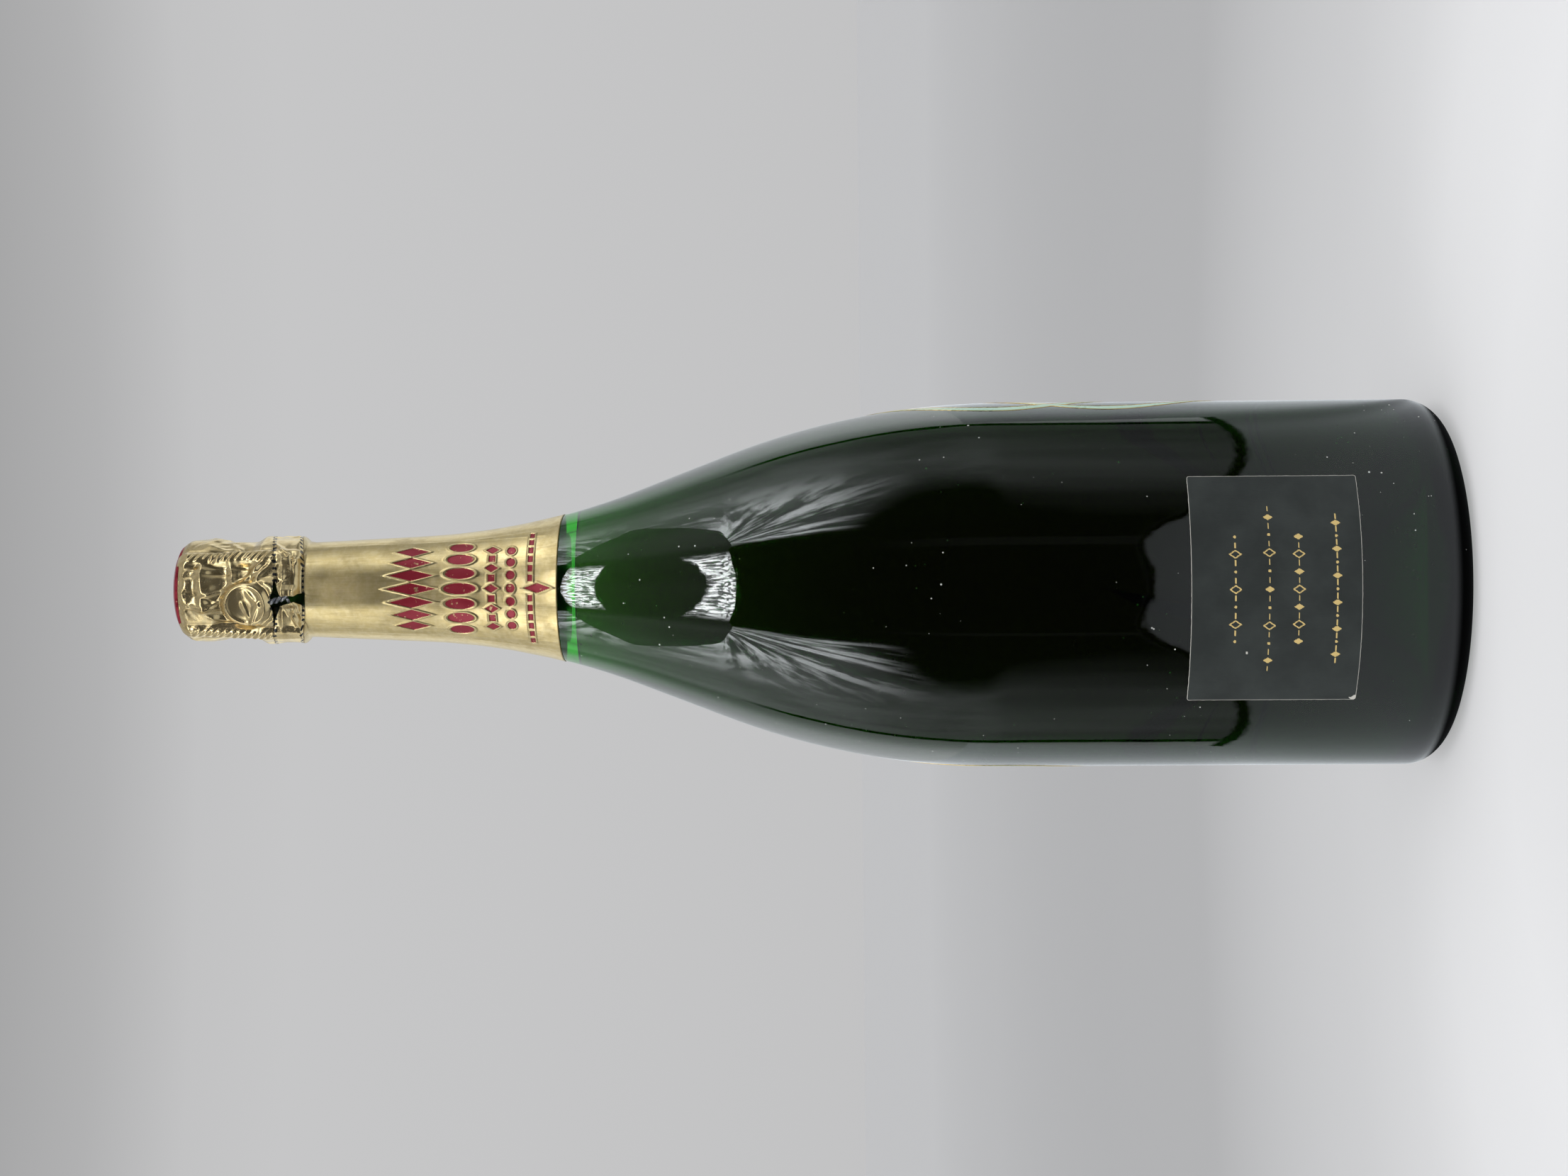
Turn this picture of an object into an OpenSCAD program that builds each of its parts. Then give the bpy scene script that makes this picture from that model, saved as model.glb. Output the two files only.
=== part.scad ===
// Sealed sparkling wine magnum: glass bottle, wine, cork, wire cage, foils and back label.
// Frame: +Z up, origin in the middle of the bearing ring, the back label faces -Y.
// Turns about Z are counted from -Y towards +X. Finish heights are counted down from the lip.

/* [Bottle body] */
// Outer diameter of the barrel
body_d = 111.2; // [108:0.1:114]
// Height of the glass from the bearing ring to the lip
glass_h = 365; // [360:0.5:372]
// Height at which the straight barrel ends and the shoulder begins
barrel_h = 132.9; // [126:0.1:138]
// Wall of the glass, measured square to its face
wall = 5.95; // [5.2:0.05:6.6]
// Radius of the rounded heel
heel_r = 10.6; // [8:0.1:13]
// Width of the flat bearing ring under the heel
bearing_w = 3.5; // [2.5:0.1:5]
// Height of the punt's hollow above the bearing ring
punt_h = 33; // [28:0.5:38]
// Lowest point of the inside floor above the bearing ring
floor_h = 10; // [8:0.5:12]
// Height of the punt's dome above the inside floor
dome_h = 31; // [27:0.5:36]

/* [Shoulder and neck] */
// Straight between the shoulder's curve and the neck's, as a share of the way between them
shoulder_straight_share = 0.157; // [0.1:0.001:0.25]
// Straight tapered part of the neck, as a share of the height from barrel to counter ring
neck_straight_share = 0.186; // [0.14:0.001:0.24]
// Shoulder's radius as a share of the shoulder's and the neck curve's radius together
shoulder_curve_share = 0.521; // [0.47:0.001:0.57]
// Lean of the neck's taper from the upright, in degrees
neck_lean = 2.69; // [2:0.01:3.2]
// Diameter of the neck right under the counter ring
neck_d = 28.28; // [27.6:0.02:29]

/* [Finish] */
// Diameter of the bore that holds the cork
bore_d = 18; // [17:0.1:18.8]
// Diameter of the counter ring that the cage is tied under
ring_d = 31.5; // [31:0.1:32.2]
// Height of the counter ring
ring_h = 9.5; // [8.5:0.1:10]
// Distance from the lip down to the top of the counter ring
ring_drop = 6.2; // [5.8:0.1:7]
// Diameter of the crown ring at the lip
crown_d = 28.6; // [28:0.1:29]
// Depth of the groove between crown ring and counter ring
groove_depth = 0.9; // [0.5:0.05:1.3]

/* [Cork] */
// Diameter of the cork's mushroom head
head_d = 29.2; // [28.6:0.1:29.4]
// Height of the head from the lip to its top
head_h = 17.4; // [16.5:0.1:18.5]
// Length of the cork inside the bore
shank_l = 24; // [22:0.5:27]
// Thickness of each natural cork disc at the wine end
disc_t = 6; // [4:0.5:7]

/* [Wire cage] */
// Wire diameter of the frame with the four legs
frame_wire_d = 0.9; // [0.8:0.02:1]
// Wire diameter of the belt and its loop
belt_wire_d = 1; // [0.9:0.02:1.1]
// Radius of the wire ring on the cap plate
ring_wire_r = 8; // [7:0.1:9]
// Length of one full twist in a leg
leg_pitch = 4.2; // [3.6:0.1:5]
// Length of one full twist in the belt's tail
tail_pitch = 3.6; // [3.2:0.1:4.2]
// Turn of the first leg about the bottle, in degrees
leg_turn = 37.5; // [30:0.5:45]
// Width of the belt's loop, outside
loop_w = 12.2; // [10.5:0.1:13]
// Height of the belt's loop, outside
loop_h = 12.8; // [11:0.1:13.5]
// Diameter of the cap plate
plate_d = 25.8; // [24:0.1:26.4]
// Sheet thickness of the cap plate
plate_t = 0.4; // [0.3:0.02:0.5]

/* [Foils and label] */
// Thickness of the foils
foil_t = 0.15; // [0.1:0.01:0.2]
// Drop of the neck foil's lower edge under the lip
foil_drop = 99.1; // [90:0.1:110]
// Drop of the lower perforation, where the neck foil ends, under the counter ring
tear_drop = 5.6; // [5.2:0.1:6]
// Height of the tear strip between the two perforations
tear_h = 8.8; // [8.4:0.1:9.2]
// Outer radius of the hood round its head, between the legs
hood_head_r = 16; // [15.8:0.05:16.2]
// Outer radius of the hood round its waist, between the legs
hood_waist_r = 14.95; // [14.9:0.05:15.3]
// Outer radius of the foils round the belt, between the legs
hood_belt_r = 16.55; // [16.5:0.05:16.9]
// Diameter of the disc on top of the hood
disc_d = 27.8; // [26:0.1:28.2]
// Height of the disc's rolled rim
rim_h = 1.4; // [1:0.05:1.6]
// Width of the back label along the glass
label_w = 68.4; // [60:0.1:80]
// Height of the back label
label_h = 48.2; // [40:0.1:60]
// Height of the label's lower edge
label_low = 33.4; // [20:0.1:45]
// Thickness of the label's paper
label_t = 0.12; // [0.08:0.01:0.2]
// Turn of the label's middle about the bottle, in degrees
label_turn = -2; // [-10:0.5:10]

/* [Fill] */
// Drop of the wine's surface under the lip
fill_drop = 105.2; // [90:0.1:125]

/* [Hidden] */
// Clearances: wine to glass, cork to bore, cork on lip, wire to what it lies on, foil to what it wraps
wine_gap = 0.1;
shank_gap = 0.05;
seat_gap = 0.05;
cage_gap = 0.05;
foil_gap = 0.08;
glue_gap = 0.02;
// Clearance between two strands of a twist, and at a glue line
strand_gap = 0.02;
glue_line = 0.02;
// One overrun for every cut
over = 5;
// Faces of a revolve, and steps along one arc of an outline
round_fn = 96;
arc_steps = 20;
small_steps = 6;
dome_steps = 24;

// The neck foil's lower edge and the two perforations
foil_low = glass_h - foil_drop;
body_r = body_d / 2;
bore_r = bore_d / 2;
ring_r = ring_d / 2;
neck_r = neck_d / 2;
crown_r = crown_d / 2;
ring_top = glass_h - ring_drop;
ring_low = ring_top - ring_h;
tear_low = ring_low - tear_drop;
tear_high = tear_low + tear_h;
full_turn = 360;
// Edge radii of the counter ring's foot and top, of the crown ring and of the lip
ring_foot_round = 1.6;
ring_top_round = 2.4;
crown_foot_round = 2;
crown_top_round = 2.8;
lip_round = 0.8;
// Height of the groove under the crown ring
groove_h = 1.2;
// Turn over which the crown ring's foot is rounded
crown_foot_turn = 50;
// Radius of the inside corner between wall and floor
trough_round = 5.5;

// Smooth step from 0 to 1
function smooth(x) = x <= 0 ? 0 : x >= 1 ? 1 : x * x * (3 - 2 * x);
// Points along an arc from angle a0 to a1
function arc(c, r, a0, a1, n) = [
    for (i = [0:n]) let (a = a0 + (a1 - a0) * i / n) c + r * [cos(a), sin(a)]
];
// A point at radius r, turned by t from -Y, at height z
function at(r, t, z) = [r * sin(t), -r * cos(t), z];
function unit(v) = v / norm(v);
function mix(a, b, w) = a * (1 - w) + b * w;

// Body outline: barrel, convex shoulder, straight, concave neck curve and tapered neck.
// The straight is the inner tangent of two circles that end at the barrel's top and at the
// neck's taper. Its length fixes the sum of their radii, and their centres fix its lean.
neck_straight = neck_straight_share * (ring_low - barrel_h);
run_r = body_r - neck_r - neck_straight * sin(neck_lean);
run_z = ring_low - barrel_h - neck_straight * cos(neck_lean);
shoulder_straight = shoulder_straight_share * norm([run_r, run_z]);
sum_cos = shoulder_curve_share + (1 - shoulder_curve_share) * cos(neck_lean);
sum_sin = (1 - shoulder_curve_share) * sin(neck_lean);
half_sum = run_r * sum_cos - run_z * sum_sin;
run_square = run_r * run_r + run_z * run_z - shoulder_straight * shoulder_straight;
sum_square = 1 - sum_cos * sum_cos - sum_sin * sum_sin;
curve_sum = run_square / (half_sum + sqrt(half_sum * half_sum + sum_square * run_square));
shoulder_r = shoulder_curve_share * curve_sum;
neck_curve_r = curve_sum - shoulder_r;
shoulder_centre = [body_r - shoulder_r, barrel_h];
neck_centre = [body_r - run_r, barrel_h + run_z] + neck_curve_r * [cos(neck_lean), sin(neck_lean)];
centre_step = neck_centre - shoulder_centre;
shoulder_lean = atan2(centre_step[1], centre_step[0]) - acos(curve_sum / norm(centre_step));

// The outline from the barrel's top to the counter ring, moved inwards by off
function body_outline(off) = concat(
    arc(shoulder_centre, shoulder_r - off, 0, shoulder_lean, arc_steps),
    reversed(arc(neck_centre, -neck_curve_r - off, neck_lean, shoulder_lean, arc_steps))
);
function neck_end(off) = [neck_r, ring_low] - off * [cos(neck_lean), sin(neck_lean)];
// Radius of the tapered neck at a height, moved inwards by off
function neck_at(z, off) = neck_r - off / cos(neck_lean) + (ring_low - z) * tan(neck_lean);

// Bearing ring, punt and inside floor
bearing_r = body_r - heel_r;
punt_r = bearing_r - bearing_w;
inner_r = body_r - wall;
function bell(r, foot_r, foot_z, h) = foot_z + h * (1 + cos(full_turn / 2 * r / foot_r)) / 2;
function bell_points(foot_r, foot_z, h) = [
    for (i = [0:dome_steps]) [foot_r * i / dome_steps, bell(foot_r * i / dome_steps, foot_r, foot_z, h)]
];
// Height at which the bore meets the neck's tapered inside
bore_low = ring_low - (bore_r + wall / cos(neck_lean) - neck_r) / tan(neck_lean);

function inside_points(off) = concat(
    bell_points(inner_r - off - trough_round, floor_h + off, dome_h),
    arc([inner_r - off - trough_round, floor_h + off + trough_round], trough_round, -90, 0, small_steps),
    body_outline(wall + off)
);
function finish_points() = concat(
    [neck_end(0)],
    arc([ring_r - ring_foot_round, ring_low + ring_foot_round], ring_foot_round, -90, 0, small_steps),
    arc([ring_r - ring_top_round, ring_top - ring_top_round], ring_top_round, 0, 90, small_steps),
    [[crown_r - groove_depth, ring_top], [crown_r - groove_depth, ring_top + groove_h]],
    arc([crown_r - crown_foot_round, ring_top + groove_h + crown_foot_round],
        crown_foot_round, -crown_foot_turn, 0, small_steps),
    arc([crown_r - crown_top_round, glass_h - crown_top_round], crown_top_round, 0, 90, small_steps),
    arc([bore_r + lip_round, glass_h - lip_round], lip_round, 90, 180, small_steps),
    [[bore_r, bore_low]]
);
function reversed(list) = [for (i = [len(list) - 1:-1:0]) list[i]];

module bottle_glass() {
    color([0.08, 0.16, 0.07, 0.75])
        rotate_extrude($fn = round_fn)
            polygon(concat(
                bell_points(punt_r, 0, punt_h),
                arc([bearing_r, heel_r], heel_r, -90, 0, arc_steps),
                body_outline(0),
                finish_points(),
                reversed(inside_points(0))
            ));
}

module wine() {
    color([0.86, 0.75, 0.32, 0.9])
        rotate_extrude($fn = round_fn)
            intersection() {
                polygon(concat(
                    [[0, glass_h]],
                    inside_points(wine_gap),
                    [[bore_r - wine_gap, glass_h]]
                ));
                square([body_r, glass_h - fill_drop]);
            }
}

// Cork: agglomerate body with a mushroom head, and two natural discs towards the wine
shank_r = bore_r - shank_gap;
head_r = head_d / 2;
shank_low = glass_h - shank_l;
head_low = glass_h + seat_gap;
head_top = glass_h + head_h;
// Height of the head's widest point above the lip, and the drop of its domed top at the edge
head_mid = 8;
head_dome = 1.2;
head_edge_round = 2;
head_edge_turn = 75;
head_foot_r = 13;
head_foot_round = 1;
head_foot_turn = 30;

module cork_body() {
    color([0.80, 0.63, 0.42])
        rotate_extrude($fn = round_fn)
            polygon(concat(
                [[0, shank_low + 2 * disc_t], [shank_r, shank_low + 2 * disc_t]],
                [[shank_r, head_low]],
                arc([head_foot_r - head_foot_round, head_low + head_foot_round],
                    head_foot_round, -90, -head_foot_turn, small_steps),
                [for (i = [1:small_steps]) [
                    mix(head_foot_r, head_r, sin(90 * i / small_steps)),
                    head_low + mix(head_foot_round, head_mid, i / small_steps)
                ]],
                arc([head_r - head_edge_round, head_top - head_dome - head_edge_round],
                    head_edge_round, 0, head_edge_turn, small_steps),
                [[ring_wire_r, head_top], [0, head_top]]
            ));
}

module cork_disc(low) {
    translate([0, 0, low])
        cylinder(h = disc_t - glue_line, r = shank_r, $fn = round_fn);
}

module cork_disc_upper() {
    color([0.76, 0.55, 0.34])
        cork_disc(shank_low + disc_t);
}

module cork_disc_lower() {
    color([0.72, 0.50, 0.30])
        cork_disc(shank_low);
}

// Cap plate: pressed steel disc with a raised middle, a groove for the wire ring and a sloping edge
plate_r = plate_d / 2;
plate_low = head_top + cage_gap;
boss_h = 0.5;
boss_r = 6.2;
plate_drop = head_dome;
function plate_line(up) = [
    [0, plate_low + boss_h + up],
    [boss_r, plate_low + boss_h + up],
    [ring_wire_r - frame_wire_d, plate_low + up],
    [ring_wire_r + frame_wire_d, plate_low + up],
    [plate_r, plate_low - plate_drop + up]
];

module cap_plate() {
    color([0.78, 0.62, 0.30])
        rotate_extrude($fn = round_fn)
            polygon(concat(plate_line(0), reversed(plate_line(plate_t))));
}

// Round wire carried along a list of points. Each ring's frame is the last one carried on.
wire_sides = 6;
function tangents(p) = [
    for (i = [0:len(p) - 1]) unit(p[min(i + 1, len(p) - 1)] - p[max(i - 1, 0)])
];
function carried(n, t) = unit(n - t * (n * t));
function frames(t, first) = [
    for (i = 0, n = carried(first, t[0]); i < len(t); i = i + 1, n = i < len(t) ? carried(n, t[i]) : n) n
];

module wire(p, r, first) {
    t = tangents(p);
    n = frames(t, first);
    k = len(p);
    s = wire_sides;
    points = [
        for (i = [0:k - 1])
            let (b = cross(t[i], n[i]))
            for (j = [0:s - 1])
                let (a = full_turn * j / s)
                p[i] + r * (cos(a) * n[i] + sin(a) * b)
    ];
    sides = [
        for (i = [0:k - 2])
            for (j = [0:s - 1])
                let (c = i * s + j, d = i * s + (j + 1) % s)
                for (f = [[c, c + s, d + s], [c, d + s, d]]) f
    ];
    start = [for (j = [1:s - 2]) [0, j, j + 1]];
    end = [for (j = [1:s - 2]) [(k - 1) * s, (k - 1) * s + j + 1, (k - 1) * s + j]];
    polyhedron(points, concat(sides, start, end));
}

// Frame of the cage: one wire that forms the ring, four twisted legs and an eye at each leg's foot
leg_count = 4;
leg_step = full_turn / leg_count;
strand_q = (frame_wire_d + strand_gap) / 2;
twist_r = strand_q + frame_wire_d / 2;
arm_z = plate_low + plate_t + cage_gap + twist_r;
bend_r = 3;
bend_end_turn = 3;
leg_top_r = head_r + cage_gap + twist_r;
leg_low_r = ring_r + cage_gap + twist_r;
// How far outside the ring the arms' twist begins
arm_lead = 1.6;
arm_in = ring_wire_r + arm_lead;
arm_drop = head_dome;
bend_centre = [leg_top_r - bend_r, arm_z - arm_drop - bend_r];
leg_foot_z = ring_low + ring_foot_round / 2;

// Drop of the belt's middle under the counter ring
belt_drop = 1.7;
belt_z = ring_low - belt_drop;
eye_r = (belt_wire_d + frame_wire_d) / 2 + cage_gap;
belt_r = neck_at(belt_z, 0) + foil_gap + frame_wire_d / 2 + eye_r;

// The leg's middle line as [radius, height], from the ring's arm over the bend to the foot
bend_points = arc(bend_centre, bend_r, 90, bend_end_turn, small_steps);
leg_line = concat(
    [[arm_in, arm_z]],
    bend_points,
    [[leg_low_r, ring_top - ring_top_round], [leg_low_r, leg_foot_z]]
);
leg_lengths = [for (i = [0:len(leg_line) - 2]) norm(leg_line[i + 1] - leg_line[i])];
function sum_to(list, n) = n <= 0 ? 0 : list[n - 1] + sum_to(list, n - 1);
leg_marks = [for (i = [0:len(leg_line) - 1]) sum_to(leg_lengths, i)];
leg_length = leg_marks[len(leg_marks) - 1];
function leg_span(s, i = 0) = i >= len(leg_lengths) - 1 || s <= leg_marks[i + 1] ? i : leg_span(s, i + 1);
function leg_point(s) =
    let (i = leg_span(s))
    mix(leg_line[i], leg_line[i + 1], (s - leg_marks[i]) / leg_lengths[i]);
leg_probe = frame_wire_d / 2;
function leg_tangent(s) =
    unit(leg_point(min(s + leg_probe, leg_length)) - leg_point(max(s - leg_probe, 0)));

// A whole number of twists less a quarter turns the strands from side by side to outer and inner
leg_twists = round(leg_length / leg_pitch) - 0.25;
steps_per_twist = 6;
strand_steps = ceil(leg_twists * steps_per_twist);
function strand_angle(s, side) = 90 * side + full_turn * leg_twists * s / leg_length;
function strand_point(s, side, turn) =
    let (
        c = leg_point(s),
        t = leg_tangent(s),
        a = strand_angle(s, side),
        flat = c + strand_q * cos(a) * [-t[1], t[0]],
        e = [cos(turn), sin(turn), 0]
    )
    at(flat[0], turn, flat[1]) + strand_q * sin(a) * e;
function strand(side, turn) = [
    for (i = [0:strand_steps]) strand_point(leg_length * i / strand_steps, side, turn)
];
// The eye goes down outside the belt, round under it, up inside it and back out over it
eye_turns = [0:30:270];
function eye(turn) = [
    for (a = eye_turns) at(belt_r + eye_r * cos(a), turn, belt_z - eye_r * sin(a))
];
// Ring between two legs as [share of the step between legs, how far out towards the arm as a share]
ring_shares = [[0.06, 0.55], [0.1, 0.2], [0.16, 0.04], [0.24, 0], [0.33, 0], [0.42, 0], [0.5, 0]];
all_ring_shares = concat(
    ring_shares,
    [for (i = [len(ring_shares) - 2:-1:0]) [1 - ring_shares[i][0], ring_shares[i][1]]]
);
function ring_part(turn) = [
    for (q = all_ring_shares) at(mix(ring_wire_r, arm_in, q[1]), turn + leg_step * q[0], arm_z)
];
// One leg: down the strand that comes from the last leg, round the eye, and up the other strand
function leg(turn) = concat(strand(-1, turn), leg_eye(turn), reversed(strand(1, turn)));
function ends_outside(side) = cos(strand_angle(leg_length, side)) > 0;
function leg_eye(turn) = ends_outside(-1) ? eye(turn) : reversed(eye(turn));
frame_path = [
    for (i = [0:leg_count - 1])
        for (p = concat(leg(leg_turn + leg_step * i), ring_part(leg_turn + leg_step * i))) p
];

module cage_frame() {
    color([0.62, 0.62, 0.60])
        wire(frame_path, frame_wire_d / 2, [0, 0, 1]);
}

// Belt: one wire round the neck through the four eyes, both ends twisted into a tail with a loop
belt_q = (belt_wire_d + strand_gap) / 2;
tail_r = ring_r + cage_gap + belt_q + belt_wire_d / 2;
tail_turn_low = -7.5;
tail_turn_high = -14.5;
tail_twists = 2;
tail_rise = 0.9;
tail_low = belt_z + tail_rise;
tail_high = tail_low + tail_twists * tail_pitch;
tail_steps = 14;
loop_turn = -15.6;
loop_lean = 0.1;
loop_sink = 0.2;
loop_z = tail_high + (loop_h - belt_wire_d) / 2 - loop_sink;
tail_axis = unit([
    (tail_turn_high - tail_turn_low) / full_turn * 2 * PI * tail_r,
    tail_high - tail_low
]);
function tail_point(w, phase) =
    let (
        turn = mix(tail_turn_low, tail_turn_high, w),
        a = phase + full_turn * tail_twists * w,
        side = belt_q * cos(a),
        c = at(tail_r + belt_q * sin(a), turn, mix(tail_low, tail_high, w))
    )
    c + side * (tail_axis[1] * [cos(turn), sin(turn), 0] + [0, 0, -tail_axis[0]]);
function tail(phase, from, to) = [
    for (i = [0:tail_steps]) tail_point(mix(from, to, i / tail_steps), phase)
];
// The belt leaves the neck over this turn to each side of the tail
belt_lead_turn = 14;
belt_steps = 40;
belt_arc = [
    for (i = [0:belt_steps])
        let (
            turn = tail_turn_low - belt_lead_turn - (full_turn - 2 * belt_lead_turn) * i / belt_steps
        )
        at(belt_r, turn, belt_z)
];
// Lead from belt to tail as [share of the lead's turn, share of the way up and out]
lead_shares = [[0.75, 0.12], [0.5, 0.45], [0.3, 0.82]];
function lead(sign, w) = at(
    mix(belt_r, tail_r, w[1]),
    tail_turn_low + sign * belt_lead_turn * w[0],
    mix(belt_z, tail_low, w[1])
);
loop_steps = 22;
loop_start_turn = -75;
loop_end_turn = 250;
function loop_point(a) =
    let (
        x = (loop_w - belt_wire_d) / 2 * cos(a),
        z = loop_z + (loop_h - belt_wire_d) / 2 * sin(a),
        r = tail_r - loop_lean * (z - tail_high)
    )
    at(r, loop_turn + x / r / PI / 2 * full_turn, z);
// The wire starts at the tail's top, and its other end closes the loop beside it
tail_cut_share = 0.86;
belt_path = concat(
    tail(full_turn / 2, tail_cut_share, 0),
    [for (i = [len(lead_shares) - 1:-1:0]) lead(-1, lead_shares[i])],
    belt_arc,
    [for (w = lead_shares) lead(1, w)],
    tail(0, 0, 1),
    [for (i = [0:loop_steps]) loop_point(mix(loop_start_turn, loop_end_turn, i / loop_steps))]
);

module belt_wire() {
    color([0.62, 0.62, 0.60])
        wire(belt_path, belt_wire_d / 2, [0, 0, 1]);
}

// A closed skin from an outer and an inner grid of points. Rows run up, columns run round.
module skin(outer, inner, closed) {
    rows = len(outer);
    cols = len(outer[0]);
    n = rows * cols;
    last = closed ? cols - 1 : cols - 2;
    points = concat([for (row = outer) each row], [for (row = inner) each row]);
    walls = [
        for (i = [0:rows - 2])
            for (j = [0:last])
                let (a = i * cols + j, b = i * cols + (j + 1) % cols, c = a + cols, d = b + cols)
                for (f = [[a, c, d], [a, d, b], [a + n, d + n, c + n], [a + n, b + n, d + n]]) f
    ];
    rims = [
        for (j = [0:last])
            let (a = j, b = (j + 1) % cols, c = a + (rows - 1) * cols, d = b + (rows - 1) * cols)
            for (f = [[a, b, b + n], [a, b + n, a + n], [c, c + n, d + n], [c, d + n, d]]) f
    ];
    ends = closed ? [] : [
        for (i = [0:rows - 2])
            let (a = i * cols, c = a + cols, b = a + cols - 1, d = b + cols)
            for (f = [[a, a + n, c + n], [a, c + n, c], [b, d, d + n], [b, d + n, b + n]]) f
    ];
    polyhedron(points, concat(walls, rims, ends));
}

// Foils over the cage. A ridge follows each leg, and an oval stands over the belt's loop.
ridge_turns = [0, 4, 8, 12, 18, 24, 31, 38];
quarter_turns = concat(
    [for (i = [len(ridge_turns) - 1:-1:1]) -ridge_turns[i]],
    ridge_turns,
    [leg_step / 2]
);
skin_turns = [for (i = [0:leg_count - 1]) for (q = quarter_turns) leg_turn + leg_step * i + q];
ridge_flat_turn = 4;
ridge_foot_turn = 12;
function to_leg(turn) = abs((((turn - leg_turn) % leg_step) + 1.5 * leg_step) % leg_step - leg_step / 2);
function ridge_weight(turn) =
    smooth((ridge_foot_turn - to_leg(turn)) / (ridge_foot_turn - ridge_flat_turn));
function turn_gap(turn, to) =
    abs(((turn - to) % full_turn + 1.5 * full_turn) % full_turn - full_turn / 2);

hood_line_z = bend_centre[1];
hood_top = hood_line_z + bend_r + twist_r + foil_gap + foil_t;
hood_core_r = bend_centre[0];
// Wall of the foils between the legs: waist, head and belt, joined by smooth steps
head_rise_foot = 3.6;
head_rise_z = glass_h + head_rise_foot;
head_rise_h = 5.4;
skirt_rise = 2.4;
skirt_fall_z = ring_top + skirt_rise;
skirt_fall_h = 3.6;
head_fall = 0.3;
function base_r(z) =
    hood_waist_r
    + (hood_head_r - hood_waist_r) * smooth((z - head_rise_z) / head_rise_h)
    - head_fall * smooth((z - head_rise_z - head_rise_h) / head_rise_h)
    + (hood_belt_r - hood_waist_r) * smooth((skirt_fall_z - z) / skirt_fall_h);
// Outer face of the foil over a leg: the leg's own line, its twist, the gap and the foil
leg_slope = (leg_low_r - leg_top_r) / (hood_line_z - ring_top + ring_top_round);
function ridge_r(z) =
    leg_top_r + leg_slope * max(0, min(hood_line_z - z, hood_line_z - ring_top + ring_top_round))
    + twist_r + foil_gap + foil_t;
// Outer face over the loop and its tail, carried on down to the edge so that the hood lifts off
function loop_r(z) =
    tail_r - loop_lean * max(0, z - tail_high) + belt_q + belt_wire_d / 2 + foil_gap + foil_t;
loop_foot_share = 0.45;
function loop_weight(turn, z) =
    let (
        x = turn_gap(turn, loop_turn) / full_turn * 2 * PI * tail_r / (loop_w / 2 + foil_gap),
        y = max(0, z - loop_z) / (loop_h / 2 + foil_gap)
    )
    smooth((1 + loop_foot_share - norm([x, y])) / loop_foot_share);
function wall_r(turn, z) = max(
    mix(base_r(z), max(base_r(z), ridge_r(z)), ridge_weight(turn)),
    mix(base_r(z), max(base_r(z), loop_r(z)), loop_weight(turn, z))
);

wall_rows = 13;
dome_rows = 5;
// The hood's lower edge is torn a little higher in front of the tail
notch_h = 2.6;
notch_turn = -12;
notch_half_turn = 11;
function hood_low(turn) =
    tear_high + foil_gap + notch_h * smooth(1 - turn_gap(turn, notch_turn) / notch_half_turn);
function hood_grid(off) = concat(
    [for (i = [0:wall_rows - 1]) [
        for (turn = skin_turns)
            let (z = mix(hood_low(turn), hood_line_z, i / (wall_rows - 1)))
            at(wall_r(turn, z) - off, turn, z)
    ]],
    [for (i = [1:dome_rows]) [
        for (turn = skin_turns)
            let (
                a = 90 * i / dome_rows,
                reach = wall_r(turn, hood_line_z) - off - hood_core_r,
                rise = hood_top - off - hood_line_z
            )
            at(hood_core_r + reach * cos(a), turn, hood_line_z + rise * sin(a))
    ]]
);

module hood_foil() {
    color([0.80, 0.69, 0.38])
        skin(hood_grid(0), hood_grid(foil_t), true);
}

// Disc on the hood: a flat top with a rolled rim that sits on the hood's shoulder
disc_r = disc_d / 2;
disc_sheet_t = 0.25;
disc_low = hood_top;
disc_round = 0.8;
module hood_disc() {
    color([0.62, 0.10, 0.13])
        rotate_extrude($fn = round_fn)
            polygon(concat(
                [[0, disc_low + rim_h - disc_sheet_t]],
                [[disc_r - disc_round, disc_low + rim_h - disc_sheet_t]],
                [[disc_r - disc_sheet_t, disc_low + rim_h - disc_round]],
                [[disc_r - disc_sheet_t, disc_low], [disc_r, disc_low]],
                arc([disc_r - disc_round, disc_low + rim_h - disc_round], disc_round, 0, 90, small_steps),
                [[0, disc_low + rim_h]]
            ));
}

// Tear strip between the two perforations, torn open in front of the tail
strip_rows = 9;
strip_neck_r = neck_at(tear_low, -foil_gap) + foil_t;
strip_foot = 0.9;
strip_rise_z = tear_low + strip_foot;
strip_rise_h = 2.4;
ridge_foot_z = tear_low + strip_foot / 4;
ridge_rise_h = strip_rise_h - strip_foot / 2;
gap_turn = -9;
gap_half_turn = 3.4;
gap_flare_turn = 9;
eye_out_r = belt_r + eye_r + frame_wire_d / 2 + foil_gap + foil_t;
strip_columns = 60;
// The strip stands out over the belt's lead to its tail
lead_out_r = tail_r + belt_q + belt_wire_d / 2 + foil_gap + foil_t;
lead_fall_share = 0.6;
function lead_weight(turn) =
    smooth((belt_lead_turn - turn_gap(turn, tail_turn_low)) / (belt_lead_turn * lead_fall_share));
function strip_base_r(turn, z) = mix(
    strip_neck_r,
    mix(hood_belt_r, lead_out_r, lead_weight(turn)),
    smooth((z - strip_rise_z) / strip_rise_h)
);
function strip_ridge_r(z) = mix(
    strip_neck_r,
    max(eye_out_r, ridge_r(z)),
    smooth((z - ridge_foot_z) / ridge_rise_h)
);
function strip_r(turn, z) = mix(strip_base_r(turn, z), strip_ridge_r(z), ridge_weight(turn));
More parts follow.
